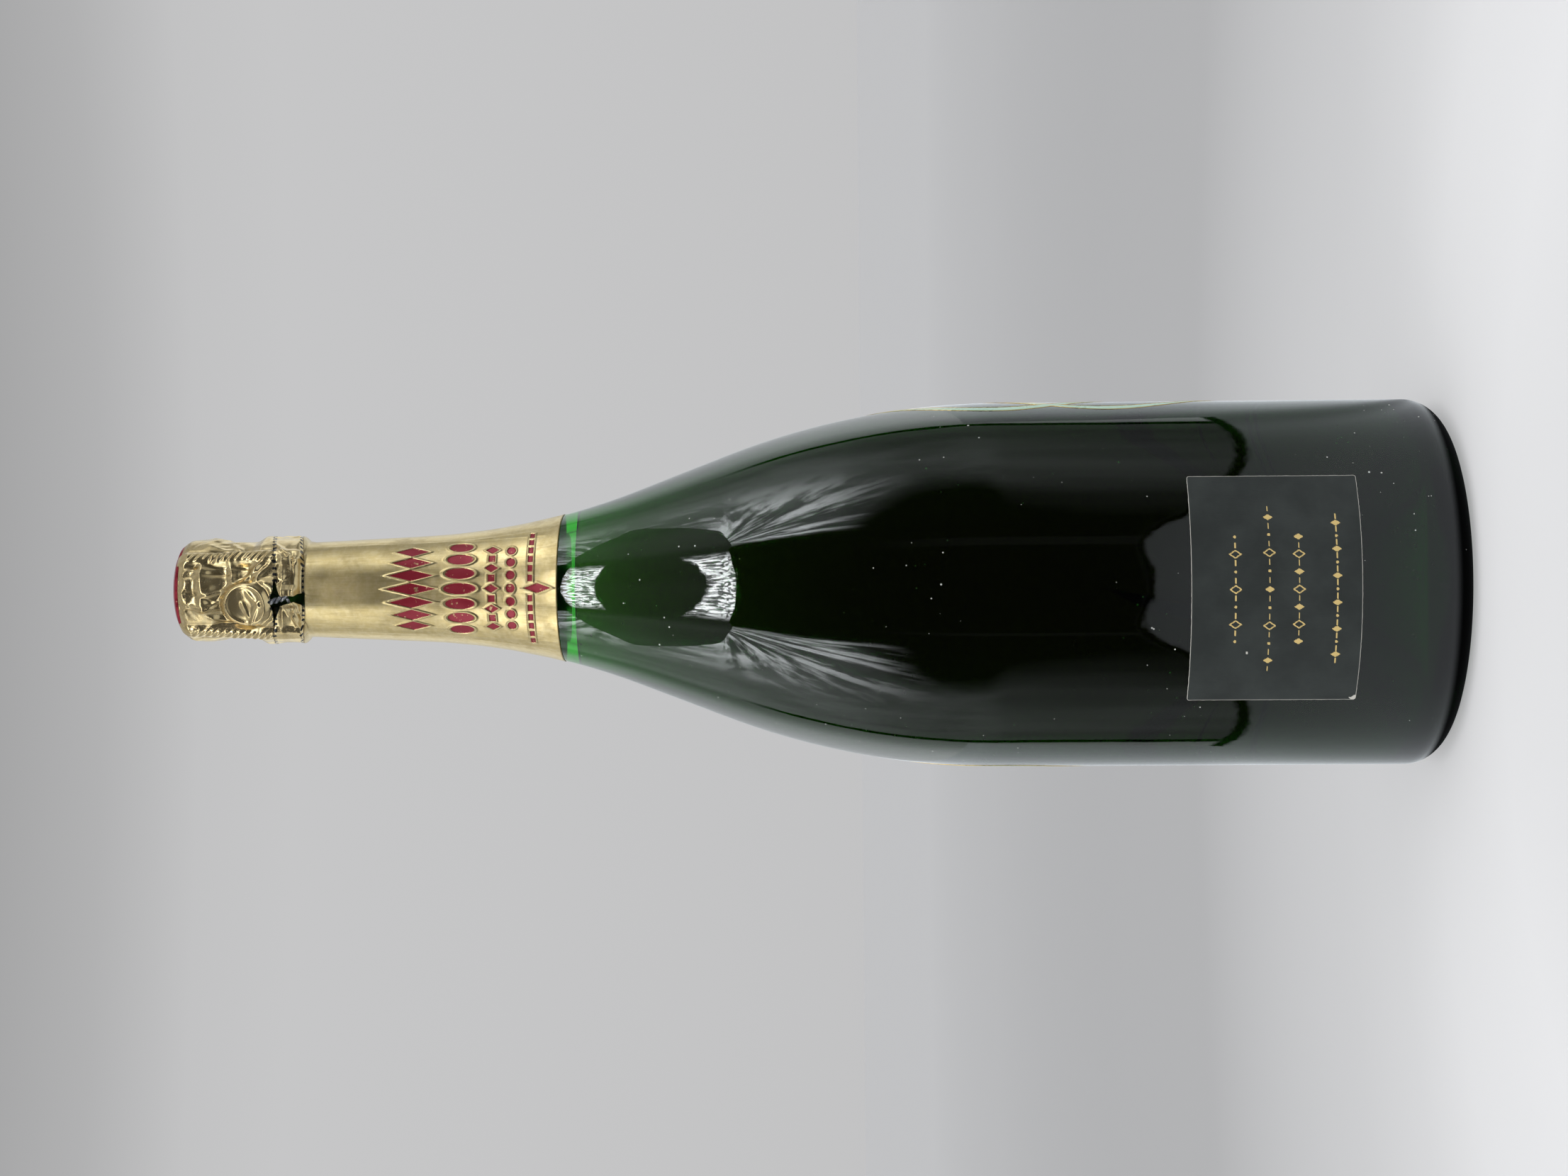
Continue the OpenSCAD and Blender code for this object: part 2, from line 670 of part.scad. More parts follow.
// The tear is narrow in the middle of the strip and flares to both edges
function gap_at(w) = gap_half_turn + gap_flare_turn * pow(2 * w - 1, 2);
function strip_grid(off) = [
    for (i = [0:strip_rows - 1])
        let (
            w = i / (strip_rows - 1),
            z = mix(tear_low, tear_high, w),
            half = gap_at(w)
        )
        [for (j = [0:strip_columns])
            let (turn = gap_turn + half + (full_turn - 2 * half) * j / strip_columns)
            at(strip_r(turn, z) - off, turn, z)]
];

module tear_strip() {
    color([0.80, 0.69, 0.38])
        skin(strip_grid(0), strip_grid(foil_t), false);
}

// Neck foil: a sleeve that follows the neck, with the lap of its side seam
lap_turn = 118;
lap_w = 6;
function sleeve_points(out) = concat(body_outline(-out), [neck_end(-out)]);
module sleeve(from, to) {
    rotate_extrude($fn = round_fn)
        intersection() {
            polygon(concat(sleeve_points(to), reversed(sleeve_points(from))));
            translate([0, foil_low])
                square([body_r, tear_low - foil_low - foil_gap]);
        }
}
module neck_foil() {
    color([0.78, 0.68, 0.40]) {
        sleeve(foil_gap, foil_gap + foil_t);
        intersection() {
            sleeve(foil_gap + foil_t, foil_gap + 2 * foil_t);
            rotate(lap_turn)
                translate([-lap_w / 2, -body_r, foil_low])
                    cube([lap_w, body_r, glass_h]);
        }
    }
}

// Back label: paper bent round the barrel, with rounded corners
label_corner_r = 0.8;
label_corner_fn = 24;
label_face_r = body_r + glue_gap + label_t;
label_chord = 2 * body_r * sin(label_w / body_r / PI / 4 * full_turn);
module label_blank() {
    linear_extrude(body_r + over)
        translate([-label_chord / 2 + label_corner_r, label_corner_r])
            union() {
                translate([-label_corner_r, 0])
                    square([label_chord, label_h - 2 * label_corner_r]);
                translate([0, -label_corner_r])
                    square([label_chord - 2 * label_corner_r, label_h]);
                for (x = [0, label_chord - 2 * label_corner_r])
                    for (y = [0, label_h - 2 * label_corner_r])
                        translate([x, y])
                            circle(r = label_corner_r, $fn = label_corner_fn);
            }
}
module back_label() {
    color([0.10, 0.14, 0.11])
        rotate(label_turn)
            intersection() {
                translate([0, 0, label_low - over])
                    difference() {
                        cylinder(h = label_h + 2 * over, r = label_face_r, $fn = 2 * round_fn);
                        translate([0, 0, -over])
                            cylinder(h = label_h + 4 * over, r = body_r + glue_gap, $fn = 2 * round_fn);
                    }
                translate([0, 0, label_low])
                    rotate([90, 0, 0])
                        label_blank();
            }
}

bottle_glass();
wine();
cork_body();
cork_disc_upper();
cork_disc_lower();
cap_plate();
cage_frame();
belt_wire();
hood_foil();
hood_disc();
tear_strip();
neck_foil();
back_label();
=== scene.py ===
"""Looks of a sealed sparkling wine magnum, built round its packed solids.

Run as a script by Blender. Every size is in metres, in the frame of the solids: Z up along the
bottle, the back label towards -Y. Turns about Z are counted from -Y towards +X, in degrees.
"""

import math

import bpy
import numpy as np
from bpy.props import FloatProperty, FloatVectorProperty, IntProperty, PointerProperty
from bpy.types import NodeSocket, Operator, Panel, PropertyGroup
from mathutils import Matrix


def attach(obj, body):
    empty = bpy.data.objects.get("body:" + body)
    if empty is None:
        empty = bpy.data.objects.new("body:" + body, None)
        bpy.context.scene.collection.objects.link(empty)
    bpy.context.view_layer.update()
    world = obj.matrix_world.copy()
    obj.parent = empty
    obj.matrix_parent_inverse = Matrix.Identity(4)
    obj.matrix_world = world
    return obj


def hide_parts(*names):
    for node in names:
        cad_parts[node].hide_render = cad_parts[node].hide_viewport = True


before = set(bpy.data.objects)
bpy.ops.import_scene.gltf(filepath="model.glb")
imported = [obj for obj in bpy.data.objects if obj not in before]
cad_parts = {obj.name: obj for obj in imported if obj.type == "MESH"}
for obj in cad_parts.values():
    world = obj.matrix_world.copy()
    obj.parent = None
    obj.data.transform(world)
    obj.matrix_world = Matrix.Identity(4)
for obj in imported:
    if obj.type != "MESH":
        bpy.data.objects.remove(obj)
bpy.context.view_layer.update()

bl_info = {
    "name": "Sparkling Wine Magnum", "version": (1, 0, 0), "blender": (4, 5, 0),
    "location": "View3D > Sidebar > Magnum",
    "description": "Dresses the packed solids of a sealed magnum with glass, foils, wires, paper and enamel",
    "category": "Add Mesh",
}

MM = 0.001
FULL = 360.0
TO_DEGREES = 180 / math.pi
GLASS_IOR, WINE_IOR = 1.52, 1.34
# Directions that gloss sees, in degrees: turns are counted from the camera's side, heights from level
OPENING_LEVEL, OPENING_HIGH, OPENING_LOW = 61.0, 40.5, 42.0
POST_TURN, THIN_POST_TURN = 27.0, 31.0
FAN_TURN, FAN_HEIGHT = 41.0, 43.0
BACKDROP_TURN, BACKDROP_MIDDLE = 118.0, 2.0
FRONT_TURN = 120.0
# Heights in degrees: the backdrop's foot below level, and its rise. Then the strength of the plain light
BACKDROP_FOOT, BACKDROP_RISE, PLAIN_LIGHT = 2.0, 22.0, 0.76
# Lamps: name, place, aim, width in metres and power in watts
LAMPS = [
    ("top_lamp", (0.25, -0.45, 1.3), (0.0, 0.0, 0.1), 1.2, 4.0),
    ("side_lamp", (-1.1, -0.7, 0.6), (0.0, 0.0, 0.2), 0.9, 3.0),
]
# Lamp arc, in degrees from its end: where its light starts and stops to fade, and where cloth and edge are
# full
ARC_FADE_FROM, ARC_FADE_TO, ARC_CLOTH, ARC_EDGE = -9.0, 1.5, 14.0, 6.0
# Floor cloth: share of its own light for the camera, then its ragged and soft edge and its dark line, in
# metres
CLOTH_GLOW, CLOTH_RAGGED, CLOTH_SOFT, CLOTH_LINE, CLOTH_LINE_END = 0.4, 0.04, 0.035, 0.008, 0.03
# Tear in the hood's edge: its turn and half width in degrees, and its lift
TEAR_TURN, TEAR_HALF, TEAR_LIFT = -12, 14, 1.2 * MM
# Neck foil: half turn of the finer part, its hem, the ornament's top, the plain part under the tear and its
# rows
FINE_HALF, HEM, ORNAMENT_TOP, UNDER_TEAR, TOP_ROWS = 78, 1.2 * MM, 322 * MM, 0.8 * MM, 18
# Disc: radius of its rim's rounding and of its two pressed rings, their depth, and its columns
RIM_ROUND, PRESSED_RINGS, RING_DEPTH, DISC_COLUMNS = 0.6 * MM, (9.2 * MM, 11.4 * MM), 0.16 * MM, 240
# Glass and wine: columns round, the angle in degrees from which an edge is sharp, and the wine's lap into the
# wall
GLASS_COLUMNS, GLASS_SHARP, WINE_LAP = 160, 38, 0.03 * MM
# Floor mesh: radii of its rings in metres, and the step between its corners in degrees
FLOOR_RINGS, FLOOR_STEP = [0.02, 0.1, 0.2, 0.4, 0.8, 1.6, 4, 12, 40], 5
# Shares of the floor's reach and of the backdrop's height, each with its grey. The floor's greys paint light
# and shade: a bright pool near the bottle and a darker band further out. The backdrop's greys paint shade
# towards its top.
FLOOR_GREYS = [
    (0.0, 0.80), (0.025, 0.83), (0.035, 0.865), (0.05, 0.83), (0.062, 0.74), (0.08, 0.66),
    (0.15, 0.48), (0.25, 0.49), (0.5, 0.555), (1.0, 0.62),
]
BACKDROP_GREYS = [(0.0, 0.535), (0.10, 0.545), (0.45, 0.56), (0.70, 0.565), (0.80, 0.54),
    (0.9, 0.44), (1.0, 0.38)]


def size(name, description, mm):
    """A length property whose default is given in millimetres."""
    return FloatProperty(name=name, description=description, default=mm * MM, subtype="DISTANCE",
        unit="LENGTH", precision=5)


def share(name, description, value):
    """A property without a unit."""
    return FloatProperty(name=name, description=description, default=value, precision=4)


def turn(name, description, degrees):
    """An angle about the bottle, in degrees."""
    return FloatProperty(name=name, description=description, default=degrees, precision=2)


def colour(name, description, rgb):
    """A linear colour property."""
    return FloatVectorProperty(name=name, description=description, default=rgb, size=3, min=0,
        max=1, subtype="COLOR")


class GlassSizes(PropertyGroup):
    """Sizes of the glass and its filling."""

    body_d: size("Barrel diameter", "Outer diameter of the barrel", 111.2)
    glass_h: size("Glass height", "Height from the bearing ring to the lip", 365)
    barrel_h: size("Barrel height", "Height at which the shoulder begins", 132.9)
    wall: size("Wall", "Wall of the glass, square to its face", 5.95)
    heel_r: size("Heel radius", "Radius of the rounded heel", 10.6)
    bearing_w: size("Bearing ring", "Width of the flat bearing ring", 3.5)
    punt_h: size("Punt height", "Height of the punt's hollow", 33)
    floor_h: size("Floor height", "Lowest point of the inside floor", 10)
    dome_h: size("Dome height", "Height of the punt's dome inside", 31)
    trough_round: size("Inside corner", "Radius between wall and floor inside", 5.5)
    shoulder_straight_share: share("Shoulder straight", "Share of the way between the two curves", 0.157)
    neck_straight_share: share("Neck straight", "Share of the height from barrel to counter ring", 0.186)
    shoulder_curve_share: share("Shoulder curve", "Share of the two radii together", 0.521)
    neck_lean: turn("Neck lean", "Lean of the neck's taper from the upright", 2.69)
    neck_d: size("Neck diameter", "Diameter right under the counter ring", 28.28)
    bore_d: size("Bore", "Diameter of the bore for the cork", 18)
    ring_d: size("Counter ring", "Diameter of the counter ring", 31.5)
    ring_h: size("Counter ring height", "Height of the counter ring", 9.5)
    ring_drop: size("Counter ring drop", "From the lip down to the counter ring", 6.2)
    crown_d: size("Crown ring", "Diameter of the crown ring", 28.6)
    groove_depth: size("Groove", "Depth of the groove under the crown ring", 0.9)
    fill_drop: size("Fill drop", "From the lip down to the wine's surface", 105.2)


class CageSizes(PropertyGroup):
    """Sizes of the cork head and the wires round it."""

    head_d: size("Cork head", "Diameter of the cork's head", 29.2)
    head_h: size("Head height", "Height of the head above the lip", 17.4)
    frame_wire_d: size("Frame wire", "Wire diameter of the frame", 0.9)
    belt_wire_d: size("Belt wire", "Wire diameter of the belt", 1)
    ring_wire_r: size("Wire ring", "Radius of the ring on the cap plate", 8)
    leg_pitch: size("Leg pitch", "Length of one full twist of a leg", 4.2)
    tail_pitch: size("Tail pitch", "Length of one full twist of the tail", 3.6)
    leg_turn: turn("First leg", "Turn of the first leg", 37.5)
    loop_w: size("Loop width", "Width of the belt's loop", 12.2)
    loop_h: size("Loop height", "Height of the belt's loop", 12.8)
    plate_t: size("Plate sheet", "Thickness of the cap plate", 0.4)


class FoilSizes(PropertyGroup):
    """Sizes of the foils, the disc and the label."""

    foil_t: size("Foil", "Thickness of the foils", 0.15)
    foil_drop: size("Neck foil drop", "From the lip down to the neck foil's lower edge", 99.1)
    tear_drop: size("Tear drop", "From the counter ring down to the lower perforation", 5.6)
    tear_h: size("Tear strip", "Height of the tear strip", 8.8)
    hood_head_r: size("Hood head", "Radius of the hood round its head", 16)
    hood_waist_r: size("Hood waist", "Radius of the hood round its waist", 14.95)
    hood_belt_r: size("Hood belt", "Radius of the foils round the belt", 16.55)
    disc_d: size("Disc", "Diameter of the disc on the hood", 27.8)
    rim_h: size("Disc rim", "Height of the disc's rolled rim", 1.4)
    label_w: size("Label width", "Width of the label along the glass", 68.4)
    label_h: size("Label height", "Height of the label", 48.2)
    label_low: size("Label place", "Height of the label's lower edge", 33.4)
    label_t: size("Label paper", "Thickness of the label", 0.12)
    label_turn: turn("Label turn", "Turn of the label's middle", -2)
    tear_bow: size("Tear bow", "Rise of the tear strip from its front to its sides", 3.9)
    shoulder_r: size("Hood edge", "Radius of the hood's top edge between the legs", 14)
    shoulder_h: size("Hood edge height", "Height of that edge above the hood's straight wall", 2.75)
    crumple: size("Crumple", "Depth of the hood's creases", 0.5)
    dot_pitch: size("Perforation pitch", "Distance between two holes of a perforation", 1.85)
    dot_r: size("Perforation hole", "Radius of a hole of a perforation", 0.46)
    seam_turn: turn("Seam", "Turn of the neck foil's side seam", 118)
    emboss: size("Emboss", "Height of the raised ornament on the neck foil", 0.22)
    seed: IntProperty(name="Crease seed", description="Seed of the random creases", default=11)


class Colours(PropertyGroup):
    """Linear colours of the finishes."""

    glass: colour("Glass", "What the glass lets through", (0.07, 0.76, 0.015))
    wine: colour("Wine", "What the wine lets through", (0.75, 0.62, 0.2))
    gold: colour("Gold foil", "Face of the hood and strip", (0.68, 0.53, 0.27))
    neck_gold: colour("Neck gold", "Face of the neck foil", (0.60, 0.465, 0.215))
    # This brown is real haze, and is also painted as shade into the foils' creases and along the neck foil's
    # edges
    patina_and_shade: colour("Patina", "Brown haze on the foils", (0.20, 0.13, 0.05))
    ink: colour("Red ink", "Printed red on the foils", (0.25, 0.010, 0.024))
    steel: colour("Wire", "Face of the wires", (0.46, 0.47, 0.48))
    plate: colour("Plate", "Lacquer on the cap plate", (0.72, 0.50, 0.17))
    cork: colour("Cork", "Ground of the cork", (0.58, 0.36, 0.18))
    paper: colour("Label", "Face of the label", (0.016, 0.020, 0.018))
    print_gold: colour("Print", "Gold print on the label", (0.72, 0.53, 0.20))
    mint: colour("Enamel", "Green of the fired enamel", (0.40, 0.66, 0.48))
    glass_density: share("Glass density", "How strongly a metre of glass takes up light", 270)
    wine_density: share("Wine density", "How strongly a metre of wine takes up light", 150)


class Stage(PropertyGroup):
    """Camera, floor, roof and lamp arc."""

    distance: size("Camera distance", "From the bottle's axis", 725)
    height: size("Camera height", "Above the floor", 178)
    pitch: turn("Pitch", "Camera's upward pitch, in degrees", 1.62)
    roll: turn("Roll", "Camera's roll beyond the quarter turn, in degrees", 0.427)
    lens: share("Lens", "Focal length on a 36 mm sensor", 54.08)
    shift: size("Camera shift", "Sideways place of the camera", -0.545)
    cloth_w: size("Cloth half width", "Half width of the floor cloth that gloss sees", 430)
    cloth_d: size("Cloth depth", "Reach of the floor cloth towards the camera", 790)
    cloth_corner: size("Cloth corner", "Radius of the floor cloth's corners", 200)
    roof_z: size("Roof height", "Height of the roof that gloss sees", 592)
    roof_w: size("Roof half width", "Half width of the roof", 480)
    arc_out: size("Lamp arc", "Outer radius of the lamp arc about the bottle's axis", 462)
    arc_w: size("Lamp arc width", "Width of the lamp arc", 55)
    arc_half: turn("Lamp arc's half turn", "Turn from the lamp arc's middle to its end", 33)
    arc_light: share("Lamp arc light", "Brightness of the lamp arc", 12)
    pool: size("Bright floor", "How far in front of the bottle the floor is brightest", 250)
    contact_in: size("Contact shadow", "Radius inside which gloss sees the floor dark", 54)
    contact_out: size("Contact shadow's edge", "Radius outside which gloss sees the floor lit", 61)
    floor_reach: size("Floor reach", "Distance over which the floor's grey changes", 5000)


# Numbers

def smooth(x):
    """Smooth step: x limited to 0 and 1, squared, times three less twice x."""
    x = np.clip(x, 0, 1)
    return x * x * (3 - 2 * x)


def mix(a, b, w):
    """a where w is 0, b where w is 1, and in proportion between."""
    return a * (1 - w) + b * w


def unit(v):
    """Vectors divided by their lengths."""
    return v / np.linalg.norm(v, axis=-1, keepdims=True)


def at(r, t, z):
    """Points at radius r, turned by t degrees from -Y towards +X, at height z."""
    r, t, z = np.broadcast_arrays(np.asarray(r, float), np.radians(t), z)
    return np.stack([r * np.sin(t), -r * np.cos(t), z], -1)


def arc(centre, r, a0, a1, n):
    """An arc: the centre plus r times the cosine and sine of n + 1 even angles from a0 to a1."""
    a = np.radians(np.linspace(a0, a1, n + 1))
    return np.stack([centre[0] + r * np.cos(a), centre[1] + r * np.sin(a)], 1)


def spaced(points, step):
    """A line of points with more put in, evenly, where two neighbours are further apart than step."""
    points = np.asarray(points, float)
    lengths = np.linalg.norm(np.diff(points, axis=0), axis=1)
    points = points[np.concatenate([[True], lengths > 1e-7])]
    lengths = lengths[lengths > 1e-7]
    counts = np.maximum(1, np.ceil(lengths / step)).astype(int)
    marks = np.concatenate([np.arange(c) / c + i for i, c in enumerate(counts)] + [[len(counts)]])
    return along(points, marks)


def along(points, marks):
    """Places on a line of points, where mark 2.5 is halfway between points 2 and 3."""
    index = np.arange(len(points))
    return np.stack([np.interp(marks, index, points[:, k]) for k in range(points.shape[1])], 1)


def rounder(points):
    """A line with each corner cut: every stretch keeps its points at one and three quarters."""
    a, b = points[:-1], points[1:]
    cut = np.stack([0.75 * a + 0.25 * b, 0.25 * a + 0.75 * b], 1).reshape(-1, points.shape[1])
    return np.concatenate([points[:1], cut, points[-1:]])


def value_noise(u, v, wrap, seed):
    """Smooth noise from -1 to 1: random values on a lattice that wraps after wrap cells in u, blended by
    smooth steps.
    """
    rng = np.random.default_rng(seed)
    table = rng.uniform(-1, 1, (wrap, 64))
    i, j = np.floor(u).astype(int), np.floor(v).astype(int)
    fu, fv = smooth(u - i), smooth(v - j)
    pick = lambda a, b: table[a % wrap, b % 64]
    low = mix(pick(i, j), pick(i + 1, j), fu)
    high = mix(pick(i, j + 1), pick(i + 1, j + 1), fu)
    return mix(low, high, fv)


# Shape of the bottle, as the solids have it

class Bottle:
    """Places worked out from the sizes, with the same sums as the solids."""

    def __init__(self, scene):
        """Radii, heights and turns of every piece.

        The two outline curves follow from their shared tangent.
        """
        g, c, f = scene.magnum_glass, scene.magnum_cage, scene.magnum_foil
        self.g, self.c, self.f = g, c, f
        self.body_r, self.neck_r = g.body_d / 2, g.neck_d / 2
        self.ring_r, self.bore_r, self.crown_r = g.ring_d / 2, g.bore_d / 2, g.crown_d / 2
        self.ring_top = g.glass_h - g.ring_drop
        self.ring_low = self.ring_top - g.ring_h
        self.tear_low = self.ring_low - f.tear_drop
        self.tear_high = self.tear_low + f.tear_h
        self.foil_low = g.glass_h - f.foil_drop
        lean = math.radians(g.neck_lean)
        rise = self.ring_low - g.barrel_h
        straight = g.neck_straight_share * rise
        run_r = self.body_r - self.neck_r - straight * math.sin(lean)
        run_z = rise - straight * math.cos(lean)
        tangent = g.shoulder_straight_share * math.hypot(run_r, run_z)
        k = g.shoulder_curve_share
        sum_cos, sum_sin = k + (1 - k) * math.cos(lean), (1 - k) * math.sin(lean)
        half = run_r * sum_cos - run_z * sum_sin
        square = run_r ** 2 + run_z ** 2 - tangent ** 2
        rest = 1 - sum_cos ** 2 - sum_sin ** 2
        both = square / (half + math.sqrt(half ** 2 + rest * square))
        self.shoulder_r, self.neck_curve_r = k * both, (1 - k) * both
        self.shoulder_c = np.array([self.body_r - self.shoulder_r, g.barrel_h])
        self.neck_c = np.array([self.body_r - run_r, g.barrel_h + run_z]) + self.neck_curve_r * np.array(
            [math.cos(lean), math.sin(lean)])
        step = self.neck_c - self.shoulder_c
        self.shoulder_lean = math.degrees(math.atan2(step[1], step[0])
            - math.acos(both / np.linalg.norm(step)))
        self.lean = lean
        # The wires and the foils
        self.twist_q = (c.frame_wire_d + 0.02 * MM) / 2
        self.twist_r = self.twist_q + c.frame_wire_d / 2
        self.belt_q = (c.belt_wire_d + 0.02 * MM) / 2
        self.gap = 0.05 * MM
        self.foil_gap = 0.08 * MM
        self.head_top = g.glass_h + c.head_h
        self.plate_low = self.head_top + self.gap
        self.arm_z = self.plate_low + c.plate_t + self.gap + self.twist_r
        self.leg_top_r = c.head_d / 2 + self.gap + self.twist_r
        self.leg_low_r = self.ring_r + self.gap + self.twist_r
        self.bend_r = 3 * MM
        self.bend_c = np.array([self.leg_top_r - self.bend_r, self.arm_z - 1.2 * MM - self.bend_r])
        self.belt_z = self.ring_low - 1.7 * MM
        self.eye_r = (c.belt_wire_d + c.frame_wire_d) / 2 + self.gap
        self.belt_r = self.neck_at(self.belt_z, 0) + self.foil_gap + c.frame_wire_d / 2 + self.eye_r
        self.tail_r = self.ring_r + self.gap + self.belt_q + c.belt_wire_d / 2
        self.tail_low = self.belt_z + 0.9 * MM
        self.tail_high = self.tail_low + 2 * c.tail_pitch
        self.tail_turns = (-7.5, -14.5)
        self.loop_turn = -15.6
        self.loop_z = self.tail_high + (c.loop_h - c.belt_wire_d) / 2 - 0.2 * MM
        self.hood_line = self.bend_c[1]
        self.hood_top = self.hood_line + self.bend_r + self.twist_r + self.foil_gap + f.foil_t
        self.hood_core_r = self.bend_c[0]

    def outline(self, off, n=60):
        """The barrel's top to the neck's taper, moved inwards by off: two arcs with parallel radii and the
        straight between.
        """
        return np.concatenate([
            arc(self.shoulder_c, self.shoulder_r - off, 0, self.shoulder_lean, n),
            arc(self.neck_c, self.neck_curve_r + off, 180 + self.shoulder_lean,
                180 + math.degrees(self.lean), n),
        ])

    def neck_end(self, off):
        """End of the neck's taper under the counter ring, moved inwards by off."""
        return np.array([[self.neck_r - off * math.cos(self.lean),
            self.ring_low - off * math.sin(self.lean)]])

    def neck_at(self, z, off):
        """Radius of the tapered neck at a height, moved inwards by off."""
        return self.neck_r - off / math.cos(self.lean) + (self.ring_low - z) * math.tan(self.lean)

    def skin(self, z, off=0.0):
        """Radius of the glass's outer face at a height, moved inwards by off."""
        line = np.concatenate([[[self.body_r - off, 0.0]], self.outline(off), self.neck_end(off)])
        return np.interp(z, line[:, 1], line[:, 0])

    def bell(self, foot_r, foot_z, h, n=28):
        """A bell: half a cosine wave from its top on the axis down to its foot."""
        r = foot_r * np.arange(n + 1) / n
        return np.stack([r, foot_z + h * (1 + np.cos(np.pi * r / foot_r)) / 2], 1)

    def inside(self, off):
        """Inner face of the glass, moved inwards by off: the dome over the punt, the corner and the wall."""
        g = self.g
        r = self.body_r - g.wall - off
        return np.concatenate([
            self.bell(r - g.trough_round, g.floor_h + off, g.dome_h),
            arc([r - g.trough_round, g.floor_h + off + g.trough_round], g.trough_round, -90, 0, 8),
            self.outline(g.wall + off),
        ])

    def finish(self):
        """The finish: counter ring, groove, crown ring, lip and the bore's foot."""
        g = self.g
        top, low, m = self.ring_top, self.ring_low, MM
        groove_top = top + 1.2 * m
        bore_low = low - (self.bore_r + g.wall / math.cos(self.lean) - self.neck_r) / math.tan(self.lean)
        return np.concatenate([
            self.neck_end(0), arc([self.ring_r - 1.6 * m, low + 1.6 * m], 1.6 * m, -90, 0, 8),
            arc([self.ring_r - 2.4 * m, top - 2.4 * m], 2.4 * m, 0, 90, 8),
            [[self.crown_r - g.groove_depth, top], [self.crown_r - g.groove_depth, groove_top]],
            arc([self.crown_r - 2 * m, groove_top + 2 * m], 2 * m, -50, 0, 6),
            arc([self.crown_r - 2.8 * m, g.glass_h - 2.8 * m], 2.8 * m, 0, 90, 8),
            arc([self.bore_r + 0.8 * m, g.glass_h - 0.8 * m], 0.8 * m, 90, 180, 6), [[self.bore_r, bore_low]],
        ])

    def bow(self, t):
        """Rise of the perforations away from the front: nothing at -Y, and their full rise past the sides,
        by a smooth step.
        """
        return self.f.tear_bow * smooth(self.gap_to(t, 0) / 110) ** 1.3

    def band_r(self, t, z):
        """Outer face of the foil round the belt: it steps out from the neck to the belt's radius, further
        over the tail and the legs.
        """
        f, c, m = self.f, self.c, MM
        neck = self.neck_at(self.tear_low, -self.foil_gap) + f.foil_t
        lead_out = self.tail_r + self.belt_q + c.belt_wire_d / 2 + self.foil_gap + f.foil_t
        lead_w = smooth((14 - self.gap_to(t, self.tail_turns[0])) / (14 * 0.6))
        base = mix(neck, mix(f.hood_belt_r, lead_out, lead_w),
            smooth((z - self.tear_low - 0.9 * m) / (2.4 * m)))
        eye_out = self.belt_r + self.eye_r + c.frame_wire_d / 2 + self.foil_gap + f.foil_t
        ridge = mix(neck, np.maximum(eye_out, self.ridge_r(z)),
            smooth((z - self.tear_low - 0.22 * m) / (1.95 * m)))
        return mix(base, ridge, smooth((12 - self.to_leg(t)) / 8))

    def to_leg(self, t):
        """Turn between t and the nearest of the four legs."""
        return np.abs((t - self.c.leg_turn + 45) % 90 - 45)

    def gap_to(self, t, to):
        """Turn between t and another turn, at most half a round."""
        return np.abs((t - to + 180) % 360 - 180)

    def wall_r(self, t, z):
        """Outer face of the hood: head, waist and belt radii joined by smooth steps, raised over the legs
        and the loop.
        """
        f, m = self.f, MM
        rise, head_h = self.g.glass_h + 3.6 * m, 5.4 * m
        base = f.hood_waist_r + (f.hood_head_r - f.hood_waist_r) * smooth((z - rise) / head_h)
        base = base - 0.3 * m * smooth((z - rise - head_h) / head_h)
        base = base + (f.hood_belt_r - f.hood_waist_r) * smooth((self.ring_top + 2.4 * m - z) / (3.6 * m))
        ridge = self.ridge_r(z)
        ridge_w = smooth((12 - self.to_leg(t)) / 8)
        loop = self.tail_r - 0.1 * np.maximum(0,
            z - self.tail_high) + self.belt_q + self.c.belt_wire_d / 2 + self.foil_gap + f.foil_t
        x, y = self.loop_xy(t, z)
        loop_w = smooth((1.45 - np.hypot(x, np.maximum(0, y))) / 0.45)
        return np.maximum(mix(base, np.maximum(base, ridge), ridge_w),
            mix(base, np.maximum(base, loop), loop_w))

    def ridge_r(self, z):
        """Outer face of the foil over a leg."""
        fall = self.hood_line - self.ring_top + 2.4 * MM
        slope = (self.leg_low_r - self.leg_top_r) / fall
        return self.leg_top_r + slope * np.clip(self.hood_line - z, 0,
            fall) + self.twist_r + self.foil_gap + self.f.foil_t

    def loop_xy(self, t, z):
        """Place in the loop's oval, where a length of 1 is its edge."""
        x = ((t - self.loop_turn + 180) % 360 - 180) / FULL * 2 * math.pi * self.tail_r
        return x / (self.c.loop_w / 2 + self.foil_gap), (z - self.loop_z) / (
            self.c.loop_h / 2 + self.foil_gap)


# Meshes

